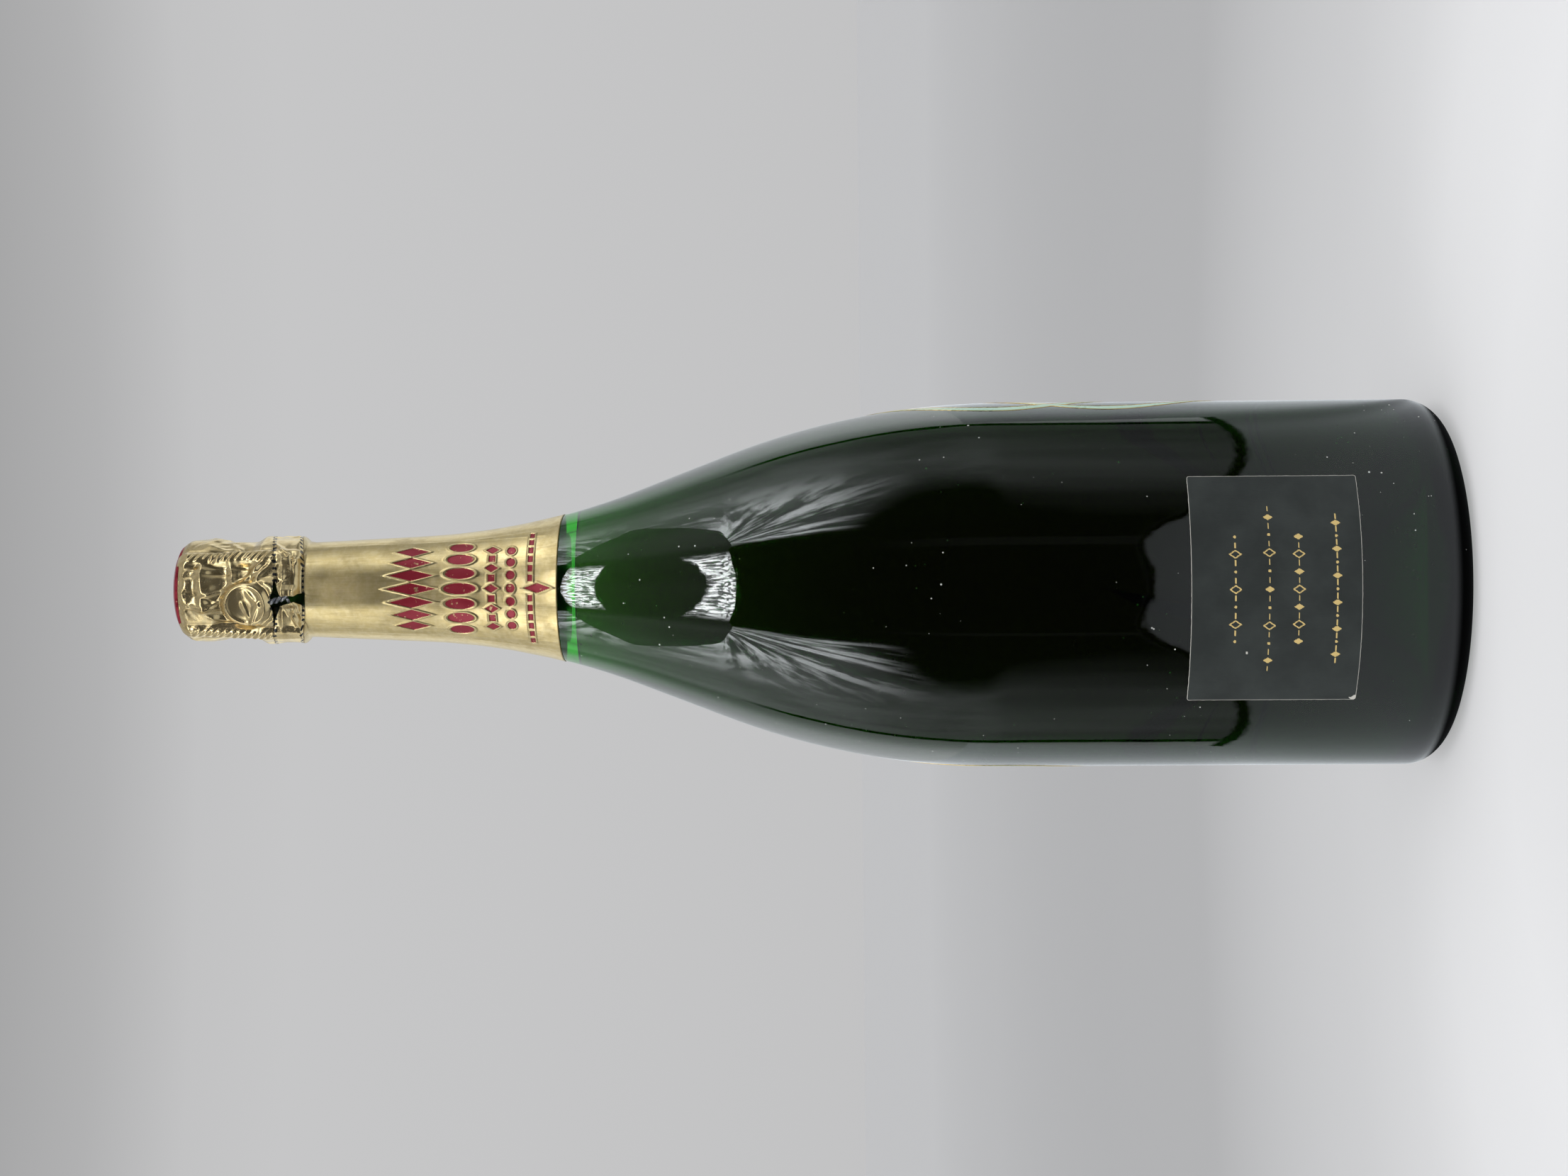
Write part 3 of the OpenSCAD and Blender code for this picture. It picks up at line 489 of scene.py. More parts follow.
def make_mesh(name, points, faces, uv=None, attributes=None, sharp=None):
    """A closed mesh at the origin from points and arrays of faces.

    If its volume comes out negative, every face is turned round.
    """
    corners = []
    for f in faces:
        tri = [f[:, [0, k, k + 1]] for k in range(1, f.shape[1] - 1)]
        corners += tri
    tri = np.concatenate(corners)
    a, b, c = points[tri[:, 0]], points[tri[:, 1]], points[tri[:, 2]]
    flip = np.einsum("ij,ij->i", a, np.cross(b, c)).sum() < 0
    if flip:
        faces = [f[:, ::-1] for f in faces]
        uv = None if uv is None else [u[:, ::-1] for u in uv]
    mesh = bpy.data.meshes.new(name)
    mesh.vertices.add(len(points))
    mesh.vertices.foreach_set("co", np.ascontiguousarray(points, np.float32).ravel())
    loops = np.concatenate([f.ravel() for f in faces]).astype(np.int32)
    sides = np.concatenate([np.full(len(f), f.shape[1]) for f in faces])
    mesh.loops.add(len(loops))
    mesh.loops.foreach_set("vertex_index", loops)
    mesh.polygons.add(len(sides))
    mesh.polygons.foreach_set("loop_start", np.concatenate([[0], np.cumsum(sides)[:-1]]).astype(np.int32))
    mesh.polygons.foreach_set("use_smooth", np.ones(len(sides), bool))
    mesh.update(calc_edges=True)
    if uv is not None:
        layer = mesh.uv_layers.new(name="UVMap")
        layer.data.foreach_set("uv",
            np.concatenate([u.reshape(-1, 2) for u in uv]).astype(np.float32).ravel())
    for key, values in (attributes or {}).items():
        mesh.attributes.new(key, "FLOAT", "POINT").data.foreach_set("value",
            np.asarray(values, np.float32).ravel())
    if sharp is not None:
        mesh.set_sharp_from_angle(angle=math.radians(sharp))
    if mesh.validate():
        raise RuntimeError(f"{name}: the mesh had faults")
    piece = bpy.data.objects.new(name, mesh)
    bpy.context.scene.collection.objects.link(piece)
    return piece


def grid(rows, cols, wrap, start=0):
    """Quads of a grid of points, row by row, and each corner's row and unwrapped column."""
    i, j = np.meshgrid(np.arange(rows - 1), np.arange(cols if wrap else cols - 1), indexing="ij")
    i, j = i.ravel(), j.ravel()
    r = np.stack([i, i, i + 1, i + 1], 1)
    c = np.stack([j, j + 1, j + 1, j], 1)
    return start + r * cols + c % cols, r, c


def revolve(name, profile, cols, sharp=None, level=None):
    """A profile of radius and height turned round Z.

    Ends on the axis close in a pole, and otherwise the profile is a ring.

    With a level, the points after the profile's highest one and below the level are marked as wet.
    """
    profile = np.asarray(profile, float)
    poles = abs(profile[0, 0]) < 1e-9 and abs(profile[-1, 0]) < 1e-9
    line = profile[1:-1] if poles else profile
    turns = np.arange(cols) * FULL / cols
    points = at(line[:, None, 0], turns[None, :], line[:, None, 1]).reshape(-1, 3)
    quads, _, _ = grid(len(line), cols, True)
    faces = [quads]
    j = np.arange(cols)
    last = (len(line) - 1) * cols
    if poles:
        n = len(points)
        points = np.concatenate([points, [[0, 0, profile[0, 1]], [0, 0, profile[-1, 1]]]])
        faces += [np.stack([np.full(cols, n), (j + 1) % cols, j], 1)]
        faces += [np.stack([np.full(cols, n + 1), last + j, last + (j + 1) % cols], 1)]
    else:
        faces += [np.stack([last + j, last + (j + 1) % cols, (j + 1) % cols, j], 1)]
    marks = None
    if level is not None:
        wet = (np.arange(len(line)) > np.argmax(line[:, 1])) & (line[:, 1] < level)
        marks = {"wet": np.concatenate([np.repeat(1.0 * wet, cols), [0.0, 1.0]])}
    return make_mesh(name, points, faces, attributes=marks, sharp=sharp)


def skin_faces(rows, cols, inner_rows, wrap, start=0):
    """Faces of a closed skin: an outer grid, an inner grid turned round, and strips of quads that join their
    rims.

    With each array of faces goes the row and column of the outer grid that every corner takes its place
    from.
    """
    n = start + rows * cols
    front, r, c = grid(rows, cols, wrap, start)
    back, rb, cb = grid(inner_rows, cols, wrap, n)
    scaled = np.round(rb * (rows - 1) / max(1, inner_rows - 1)).astype(int)
    faces, places = [front, back[:, ::-1]], [(r, c), (scaled[:, ::-1], cb[:, ::-1])]
    j = np.arange(cols if wrap else cols - 1)
    k = (j + 1) % cols
    for row, inner_row, sign in ((0, 0, 1), (rows - 1, inner_rows - 1, -1)):
        a, b = start + row * cols, n + inner_row * cols
        faces.append(np.stack([a + j, b + j, b + k, a + k], 1)[:, ::sign])
        places.append((row, np.stack([j, j, j + 1, j + 1], 1)[:, ::sign]))
    if not wrap:
        i = np.arange(rows - 1) * cols
        rises = np.stack([i, i, i + cols, i + cols], 1) // cols
        for col, sign in ((0, -1), (cols - 1, 1)):
            a, b = start + i + col, n + i + col
            faces.append(np.stack([a, b, b + cols, a + cols], 1)[:, ::sign])
            places.append((rises[:, ::sign], col))
    return faces, places


def shell(name, outer, inner, wrap, uv, attributes=None):
    """A thin closed skin from an outer and an inner grid of points with as many columns.

    uv gives each outer point's place, and the inner face takes its edge's.
    """
    rows, cols = outer.shape[:2]
    inner_rows = inner.shape[0]
    points = np.concatenate([outer.reshape(-1, 3), inner.reshape(-1, 3)])
    faces, places = skin_faces(rows, cols, inner_rows, wrap)
    if attributes:
        attributes = {key: np.concatenate([v.ravel(), np.zeros(inner_rows * cols)])
            for key, v in attributes.items()}
    return make_mesh(name, points, faces, [uv[place] for place in places], attributes)


def tube(name, path, radius, sides=10):
    """A round wire along a path.

    Each ring's frame is turned by the running sum of the turns between neighbours, so that the wire doesn't
    twist.
    """
    t = np.empty_like(path)
    t[1:-1] = path[2:] - path[:-2]
    t[0], t[-1] = path[1] - path[0], path[-1] - path[-2]
    t = unit(t)
    aim = np.eye(3)[np.argmin(np.abs(t), axis=1)]
    n = unit(np.cross(t, aim))
    b = np.cross(t, n)
    s, p = t[1:], t[:-1]
    carried = n[:-1] - (np.einsum("ij,ij->i", s, n[:-1])
        / (1 + np.einsum("ij,ij->i", s, p)))[:, None] * (s + p)
    step = np.arctan2(np.einsum("ij,ij->i", carried, b[1:]), np.einsum("ij,ij->i", carried, n[1:]))
    angle = np.concatenate([[0], np.cumsum(step)])[:, None] + np.arange(sides) * 2 * np.pi / sides
    rings = path[:, None] + radius * (np.cos(angle)[..., None] * n[:, None]
        + np.sin(angle)[..., None] * b[:, None])
    count = len(path) * sides
    points = np.concatenate(
        [rings.reshape(-1, 3), path[:1] - t[:1] * radius * 0.4, path[-1:] + t[-1:] * radius * 0.4])
    quads, _, _ = grid(len(path), sides, True)
    j = np.arange(sides)
    k = (j + 1) % sides
    last = count - sides
    caps = [np.stack([np.full(sides, count), k, j], 1),
        np.stack([np.full(sides, count + 1), last + j, last + k], 1)]
    return make_mesh(name, points, [quads] + caps)


# Materials

class Shader:
    """A short way to build the nodes of one material or world."""

    def __init__(self, name, owner=None):
        """A new material, or the owner that is given, with no nodes in it."""
        self.material = owner or bpy.data.materials.new(name)
        self.material.use_nodes = True
        self.tree = self.material.node_tree
        self.tree.nodes.clear()

    def add(self, kind, inputs=None, out=0, **settings):
        """Adds a node, with its settings and its inputs' values or links, and returns one of its outputs."""
        node = self.tree.nodes.new("ShaderNode" + kind)
        for key, value in settings.items():
            setattr(node, key, value)
        for key, value in (inputs or {}).items():
            if isinstance(value, NodeSocket):
                self.tree.links.new(value, node.inputs[key])
            else:
                node.inputs[key].default_value = value
        return node.outputs[out] if node.outputs else None

    def math(self, operation, a, b=0.0, clamp=False):
        """One operation on one or two values."""
        return self.add("Math", {0: a, 1: b}, operation=operation, use_clamp=clamp)

    def times(self, a, b):
        """The product of two values."""
        return self.math("MULTIPLY", a, b)

    def plus(self, a, b):
        """The sum of two values."""
        return self.math("ADD", a, b)

    def minus(self, a, b):
        """The first value less the second."""
        return self.math("SUBTRACT", a, b)

    def apart(self, a, b):
        """How far apart two values are."""
        return self.math("ABSOLUTE", self.minus(a, b))

    def azimuth(self, x, y):
        """The turn of a place or direction from the bottle's front, in radians."""
        return self.math("ARCTAN2", x, self.times(y, -1.0))

    def length(self, place):
        """How far a place is from the origin."""
        return self.add("VectorMath", {0: place}, 1, operation="LENGTH")

    def mark(self, name):
        """A value that the mesh carries under a name."""
        return self.add("Attribute", out=2, attribute_name=name)

    def mix(self, factor, a, b):
        """Surface a where factor is 0 and b where it is 1."""
        return self.add("MixShader", {0: factor, 1: a, 2: b})

    def pick(self, factor, a, b):
        """Value a where factor is 0 and b where it is 1."""
        return self.add("Mix", {0: factor, 2: a, 3: b}, 0, data_type="FLOAT")

    def blend(self, factor, a, b):
        """Colour a where factor is 0 and b where it is 1."""
        a, b = [(*v, 1.0) if isinstance(v, (tuple, list)) and len(v) == 3 else v for v in (a, b)]
        return self.add("Mix", {0: factor, 6: a, 7: b}, 2, data_type="RGBA")

    def span(self, value, low, high, to_low=0.0, to_high=1.0):
        """A value carried from one range to another, and limited to it."""
        return self.add("MapRange", {"Value": value, 1: low, 2: high, 3: to_low, 4: to_high},
            interpolation_type="SMOOTHSTEP")

    def place(self, scale=(1, 1, 1), kind="Object"):
        """Object or UV coordinates in metres, times a scale on each axis."""
        source = self.add("TexCoord", out={"Object": 3, "UV": 2}[kind])
        return self.add("Mapping", {"Vector": source, "Scale": scale})

    def noise(self, place, scale, detail=3.0, rough=0.55, distortion=0.0):
        """Cloudy noise at a scale per metre."""
        return self.add("TexNoise",
            {"Vector": place, "Scale": scale, "Detail": detail, "Roughness": rough, "Distortion": distortion})

    def bump(self, height, distance, strength=1.0, normal=None):
        """A normal bent by a height, over another normal if one is given."""
        inputs = {"Height": height, "Distance": distance, "Strength": strength}
        if normal is not None:
            inputs["Normal"] = normal
        return self.add("Bump", inputs)

    def principled(self, inputs):
        """Ends the material in a Principled shader, and returns it."""
        surface = self.add("BsdfPrincipled", inputs)
        self.add("OutputMaterial", {"Surface": surface})
        return self.material

    def volume(self, rgb, density):
        """Adds plain absorption inside the piece, and returns the material."""
        out = next(n for n in self.tree.nodes if n.type == "OUTPUT_MATERIAL")
        absorb = self.add("VolumeAbsorption", {"Color": (*rgb, 1), "Density": density})
        self.tree.links.new(absorb, out.inputs["Volume"])
        return self.material


def rgb(value):
    """A colour with full alpha."""
    return (*tuple(value), 1.0)


def glass_material(colours):
    """Dark green glass: clear and slightly wavy, tinted in its thickness, with dust specks and fine
    scratches.
    """
    s = Shader("green_glass")
    place = s.place()
    waves = s.noise(s.place((1, 1, 0.35)), 38, 1.5)
    ripples = s.noise(s.place((1, 1, 0.6)), 160, 2)
    normal = s.bump(ripples, 0.00002, 0.6, s.bump(waves, 0.0002, 0.6))
    specks = s.add("TexVoronoi", {"Vector": place, "Scale": 260, "Randomness": 1.0})
    size_noise = s.noise(place, 90, 1)
    clusters = s.span(s.noise(place, 22, 2), 0.42, 0.68, 0.0, 0.14)
    speck = s.math("LESS_THAN", specks, s.times(clusters, size_noise))
    haze = s.span(s.noise(s.place((1, 1, 0.2)), 60, 4, 0.7), 0.52, 0.8, 0.0, 0.03)
    rough = s.plus(s.times(speck, 0.5), s.plus(haze, 0.018))
    s.principled({
        "Base Color": s.blend(speck, (0.93, 0.97, 0.93), (0.75, 0.76, 0.72)),
        "Roughness": rough, "IOR": GLASS_IOR, "Normal": normal,
        "Transmission Weight": s.span(speck, 0, 1, 1.0, 0.25),
        "Specular Tint": s.blend(s.mark("wet"), (1.0, 1.0, 1.0), (0.03, 0.03, 0.03)),
    })
    return s.volume(colours.glass, colours.glass_density)


def wine_material(colours):
    """Aged wine: clear, and darker the further light goes through it."""
    s = Shader("wine")
    place = s.place()
    base = s.blend(s.noise(place, 40, 2), (0.98, 0.97, 0.90), (0.93, 0.90, 0.78))
    s.principled({"Base Color": base, "Roughness": 0.0, "IOR": WINE_IOR, "Transmission Weight": 1.0,
        "Specular Tint": (0.05, 0.05, 0.05, 1), "Normal": s.bump(s.noise(place, 25, 1), 0.0001, 0.2)})
    return s.volume(colours.wine, colours.wine_density)


def foil_base(s, place, gold, patina_and_shade, amount):
    """Gold with cloudy brown patina and thin paler wear."""
    cloud = s.span(s.noise(place, 90, 5, 0.65), 0.42, 0.72)
    fine = s.span(s.noise(place, 600, 3, 0.6), 0.35, 0.7)
    tone = s.blend(s.times(cloud, amount), rgb(gold), rgb(patina_and_shade))
    return s.blend(s.times(fine, 0.18), tone, (0.95, 0.85, 0.58)), cloud


def dots(s, place, pitch, heights, radius):
    """Round perforation holes: 1 where the place along the seam is near a whole number of pitches, at one of
    the heights.
    """
    x, y, _ = [s.add("SeparateXYZ", {0: place}, k) for k in range(3)]
    off = s.minus(s.math("FRACT", s.math("DIVIDE", x, pitch)), 0.5)
    off = s.times(off, pitch)
    wobble = s.times(s.minus(s.noise(place, 900, 0), 0.5), radius * 0.9)
    found = None
    for height in heights:
        dy = s.minus(y, height)
        d = s.math("SQRT", s.plus(s.math("POWER", off, 2.0), s.times(dy, dy)))
        hit = s.math("LESS_THAN", d, s.plus(radius, wobble))
        found = hit if found is None else s.math("MAXIMUM", found, hit)
    return found


def crumpled_material(name, colours, foil, holes):
    """Crumpled gold foil: bright gold with painted shade in brown in its hollows, fine crinkles, and
    perforation holes.
    """
    s = Shader(name)
    place, seam = s.place(), s.place(kind="UV")
    tone, cloud = foil_base(s, place, colours.gold, colours.patina_and_shade, 0.35)
    # Painted shade: the foil turns towards the brown in its hollows, by how deep each crease is
    hollow = s.mark("hollow")
    tone = s.blend(s.times(s.span(hollow, 0.3, 1.0), 0.5), tone, rgb(colours.patina_and_shade))
    hole = dots(s, seam, foil.dot_pitch, holes, foil.dot_r)
    fine = s.bump(s.noise(place, 650, 3, 0.55), 0.00002, 0.3)
    normal = s.bump(s.noise(place, 210, 1, 0.5), 0.00025, 0.3, fine)
    return s.principled({
        "Base Color": s.blend(hole, tone, (0.004, 0.004, 0.004)),
        "Metallic": s.times(s.minus(1.0, hole), 0.9),
        "Roughness": s.span(cloud, 0, 1, 0.19, 0.31), "Normal": normal,
    })


def neck_material(colours):
    """Brushed gold sleeve: fine lines along the neck, patina, painted shade along its edges, a few bright
    scratches, and red ink in the ornament.
    """
    s = Shader("neck_gold")
    place, face = s.place(), s.place(kind="UV")
    lines = s.noise(s.place((1, 0.02, 1), "UV"), 5200, 2, 0.7)
    long_lines = s.noise(s.place((1, 0.05, 1), "UV"), 900, 4, 0.7)
    tone, cloud = foil_base(s, place, colours.neck_gold, colours.patina_and_shade, 0.28)
    tone = s.blend(s.times(s.span(long_lines, 0.5, 0.75), 0.30), tone, rgb(colours.patina_and_shade))
    tone = s.blend(s.times(s.span(lines, 0.45, 0.8), 0.25), tone, (0.98, 0.88, 0.60))
    bend = s.add("VectorMath",
        {0: face, 1: s.add("TexNoise", {"Vector": face, "Scale": 60.0}, 1)}, operation="ADD")
    scratch = s.add("TexVoronoi", {"Vector": bend, "Scale": 75}, feature="DISTANCE_TO_EDGE")
    rare = s.span(s.noise(face, 45, 2), 0.6, 0.66)
    scratch = s.times(s.span(scratch, 0.0, 0.018, 1.0, 0.0), rare)
    tone = s.blend(s.times(scratch, 0.7), tone, (1.0, 0.93, 0.72))
    ink = s.span(s.mark("ink"), 0.35, 0.65)
    worn = s.span(s.noise(place, 700, 3), 0.62, 0.7, 1.0, 0.35)
    ink = s.times(ink, worn)
    # Painted shade: the foil darkens towards the brown along its lower hem and, half as much, under the tear
    # strip
    edge = s.span(s.mark("edge"), 0.2, 0.8)
    tone = s.blend(s.times(edge, 0.8), tone, rgb(colours.patina_and_shade))
    normal = s.bump(lines, 0.00003, 0.35, s.bump(s.noise(place, 140, 3), 0.00025, 0.25))
    return s.principled({
        "Base Color": s.blend(ink, tone, rgb(colours.ink)), "Metallic": s.span(ink, 0, 1, 0.92, 0.35),
        "Roughness": s.span(cloud, 0, 1, 0.28, 0.40), "Normal": normal,
    })


def red_material(colours):
    """Red lacquered foil with fine rub marks and a gold glint where the rim is worn."""
    s = Shader("red_foil")
    place = s.place()
    cloud = s.noise(place, 300, 4, 0.6)
    tone = s.blend(s.span(cloud, 0.35, 0.75), rgb(colours.ink), (0.36, 0.03, 0.045))
    worn = s.span(s.noise(place, 1300, 3), 0.68, 0.74)
    return s.principled({
        "Base Color": s.blend(worn, tone, rgb(colours.gold)), "Metallic": 0.55,
        "Roughness": s.span(cloud, 0.3, 0.7, 0.24, 0.42),
        "Normal": s.bump(s.noise(place, 700, 3), 0.00005, 0.5),
    })


def wire_material(colours):
    """Drawn steel wire, blue grey, with dull tarnish and fine draw lines."""
    s = Shader("cage_wire")
    place = s.place()
    cloud = s.noise(place, 450, 4, 0.65)
    tone = s.blend(s.span(cloud, 0.4, 0.7), rgb(colours.steel), (0.16, 0.17, 0.20))
    return s.principled({
        "Base Color": tone, "Metallic": 0.9, "Roughness": s.span(cloud, 0.3, 0.7, 0.25, 0.5),
        "Normal": s.bump(s.noise(place, 2600, 3), 0.00003, 0.5),
    })


def plate_material(colours):
    """Gold lacquer on pressed steel, with bare steel where the wires rub."""
    s = Shader("plate_metal")
    place = s.place()
    cloud = s.noise(place, 260, 4, 0.6)
    radius = s.length(s.place((1, 1, 0)))
    ring = s.span(s.apart(radius, 0.008), 0.0002, 0.0006, 1.0, 0.0)
    worn = s.times(ring, s.span(cloud, 0.4, 0.6))
    tone = s.blend(s.span(cloud, 0.35, 0.75), rgb(colours.plate), (0.82, 0.62, 0.28))
    return s.principled({
        "Base Color": s.blend(worn, tone, rgb(colours.steel)), "Metallic": 0.85,
        "Roughness": s.span(cloud, 0.3, 0.7, 0.2, 0.38),
        "Normal": s.bump(s.noise(place, 900, 3), 0.00004, 0.4),
    })


def agglomerate_material(colours):
    """Pressed cork grains: cells of many browns with dark glue lines and pits."""
    s = Shader("agglomerate_cork")
    place = s.place()
    cells = s.add("TexVoronoi", {"Vector": place, "Scale": 520}, 1)
    grain = s.add("SeparateColor", {0: cells})
    seam = s.add("TexVoronoi", {"Vector": place, "Scale": 520}, feature="DISTANCE_TO_EDGE")
    lines = s.span(seam, 0.0, 0.09, 1.0, 0.0)
    tone = s.blend(grain, rgb(colours.cork), (0.74, 0.54, 0.32))
    tone = s.blend(s.times(lines, 0.7), tone, (0.17, 0.08, 0.035))
    pits = s.span(s.noise(place, 800, 4, 0.7), 0.62, 0.7)
    tone = s.blend(s.times(pits, 0.8), tone, (0.12, 0.055, 0.02))
    height = s.minus(1.0, s.plus(s.times(lines, 0.5), pits))
    return s.principled({"Base Color": tone, "Roughness": 0.85, "Normal": s.bump(height, 0.0002, 0.6)})


def natural_cork_material(colours):
    """Natural cork: growth layers, short dark pores and wine stain towards the lower face."""
    s = Shader("natural_cork")
    place = s.place()
    layers = s.noise(s.place((6, 1, 1)), 130, 4, 0.6)
    tone = s.blend(s.span(layers, 0.3, 0.7), rgb(colours.cork), (0.70, 0.48, 0.27))
    pores = s.span(s.noise(s.place((1, 4, 1)), 420, 3, 0.7), 0.63, 0.7)
    tone = s.blend(s.times(pores, 0.85), tone, (0.10, 0.045, 0.02))
    low = s.add("SeparateXYZ", {0: place}, 2)
    stain = s.span(low, 0.3412, 0.3436, 0.45, 0.0)
    tone = s.blend(stain, tone, (0.34, 0.22, 0.09))
    return s.principled({"Base Color": tone, "Roughness": 0.8,
        "Normal": s.bump(s.minus(layers, pores), 0.00015, 0.6)})


def paper_material(colours):
    """Dark satin paper with a fine laid grain, gold print, a pale cut edge and rubbed spots."""
    s = Shader("label_paper")
    face = s.place(kind="UV")
    grain = s.noise(s.place((1, 0.22, 1), "UV"), 1500, 3, 0.6, 1.2)
    fibres = s.noise(face, 4200, 3, 0.7)
    tone = s.blend(s.span(s.noise(face, 70, 4), 0.3, 0.75), rgb(colours.paper), (0.030, 0.036, 0.033))
    rub = s.span(s.noise(face, 900, 4, 0.75), 0.72, 0.78)
    tone = s.blend(s.times(rub, 0.25), tone, (0.30, 0.32, 0.30))
    ink = s.span(s.mark("ink"), 0.35, 0.65)
    ink = s.times(ink, s.span(fibres, 0.25, 0.4, 0.5, 1.0))
    tone = s.blend(ink, tone, rgb(colours.print_gold))
    bare = s.span(s.mark("bare"), 0.3, 0.7)
    tone = s.blend(bare, tone, (0.62, 0.60, 0.54))
    return s.principled({
        "Base Color": tone, "Roughness": s.span(grain, 0.3, 0.7, 0.38, 0.52), "Specular IOR Level": 0.42,
        "Normal": s.bump(fibres, 0.00002, 0.3, s.bump(grain, 0.00006, 0.5)),
    })


def enamel_material(name, base, pale, metallic):
    """Fired enamel: slightly uneven in colour and gloss, with tiny pits."""
    s = Shader(name)
    place = s.place()
    cloud = s.noise(place, 220, 4, 0.6)
    pits = s.span(s.noise(place, 2200, 2), 0.66, 0.72)
    return s.principled({
        "Base Color": s.blend(pits, s.blend(s.span(cloud, 0.3, 0.7), base, pale), (0.16, 0.2, 0.16)),
        "Metallic": metallic, "Roughness": s.span(cloud, 0.3, 0.7, 0.22, 0.4),
        "Normal": s.bump(s.minus(cloud, pits), 0.00006, 0.5),
    })


def dress(piece, material, body, slot, *nodes):
    """Gives a new piece its material and its body, and hides the solids that it stands for. Its slot is not
    used.
    """
    piece.data.materials.append(material)
    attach(piece, body)
    if nodes:
        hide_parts(*nodes)
    return piece


def repaint(node, material):
    """Gives a solid a better material and leaves its shape alone."""
    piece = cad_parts[node]
    piece.data.materials.clear()
    piece.data.materials.append(material)


# Pieces

class MAGNUM_OT_glass(Operator):
    """Makes the thick green glass with its punt and finish, and the wine inside it"""

    bl_idname = "magnum.glass"
    bl_label = "Glass and wine"

    def execute(self, context):
        """Both are turned profiles: the glass from the punt's top round to the dome inside, the wine just
        past the glass's inner face.
        """
        b, colours = Bottle(context.scene), context.scene.magnum_colours
        g = b.g
        bearing = b.body_r - g.heel_r
        profile = np.concatenate([
            b.bell(bearing - g.bearing_w, 0, g.punt_h, 40),
            arc([bearing, g.heel_r], g.heel_r, -90, 0, 16),
            b.outline(0, 90), b.finish(), b.inside(0)[::-1],
        ])
        surface = g.glass_h - g.fill_drop
        glass = revolve("magnum_glass", spaced(profile, 2.4 * MM), GLASS_COLUMNS,
            sharp=GLASS_SHARP, level=surface)
        dress(glass, glass_material(colours), "bottle", "green_glass", "bottle_glass")
        lap = b.inside(-WINE_LAP)
        inside = lap[lap[:, 1] < surface - 0.3 * MM]
        edge = np.interp(surface, lap[-70:, 1], lap[-70:, 0])
        top = [[edge, surface + 0.35 * MM], [edge - 0.35 * MM, surface + 0.1 * MM],
            [edge - 1.2 * MM, surface], [0, surface]]
        wine = revolve("wine_fill", spaced(np.concatenate([inside, top]), 3 * MM), GLASS_COLUMNS)
        dress(wine, wine_material(colours), "bottle", "wine", "wine")
        return {"FINISHED"}


def frame_path(b):
    """The cage's frame as one line: down one strand of a leg, round the belt in an eye, up the other strand,
    along the ring to the next leg.
    """
    c, m = b.c, MM
    arm_in = c.ring_wire_r + 1.6 * m
    leg = np.concatenate([
        [[arm_in, b.arm_z]], arc(b.bend_c, b.bend_r, 90, 3, 8),
        [[b.leg_low_r, b.ring_top - 2.4 * m], [b.leg_low_r, b.ring_low + 0.8 * m]],
    ])
    marks = np.concatenate([[0], np.cumsum(np.linalg.norm(np.diff(leg, axis=0), axis=1))])
    length = marks[-1]
    twists = round(length / c.leg_pitch) - 0.25
    s = np.linspace(0, length, int(twists * 14))
    point = lambda q: np.stack([np.interp(q, marks, leg[:, 0]), np.interp(q, marks, leg[:, 1])], 1)
    probe = c.frame_wire_d / 2
    tangent = unit(point(np.minimum(s + probe, length)) - point(np.maximum(s - probe, 0)))

    def strand(side, turn_):
        """One strand of the leg at a turn: a helix round the leg's middle line."""
        a = np.radians(90 * side + FULL * twists * s / length)
        flat = point(s) + b.twist_q * np.cos(a)[:, None] * np.stack([-tangent[:, 1], tangent[:, 0]], 1)
        t = math.radians(turn_)
        return at(flat[:, 0], turn_,
            flat[:, 1]) + b.twist_q * np.sin(a)[:, None] * np.array([math.cos(t), math.sin(t), 0])

    def eye(turn_):
        """Three quarters of a circle round the belt."""
        a = np.radians(np.arange(0, 271, 15))
        return at(b.belt_r + b.eye_r * np.cos(a), turn_, b.belt_z - b.eye_r * np.sin(a))

    shares = np.array([[0.06, 0.55], [0.1, 0.2], [0.16, 0.04], [0.24, 0], [0.33, 0], [0.42, 0], [0.5, 0]])
    shares = np.concatenate([shares, (shares * [-1, 1] + [1, 0])[-2::-1]])
    outside = math.cos(math.radians(-90 + FULL * twists)) > 0
    parts = []
    for k in range(4):
        turn_ = c.leg_turn + 90 * k
        parts += [strand(-1, turn_), eye(turn_) if outside else eye(turn_)[::-1], strand(1, turn_)[::-1]]
        parts += [at(mix(c.ring_wire_r, arm_in, shares[:, 1]), turn_ + 90 * shares[:, 0], b.arm_z)]
    return rounder(np.concatenate(parts))


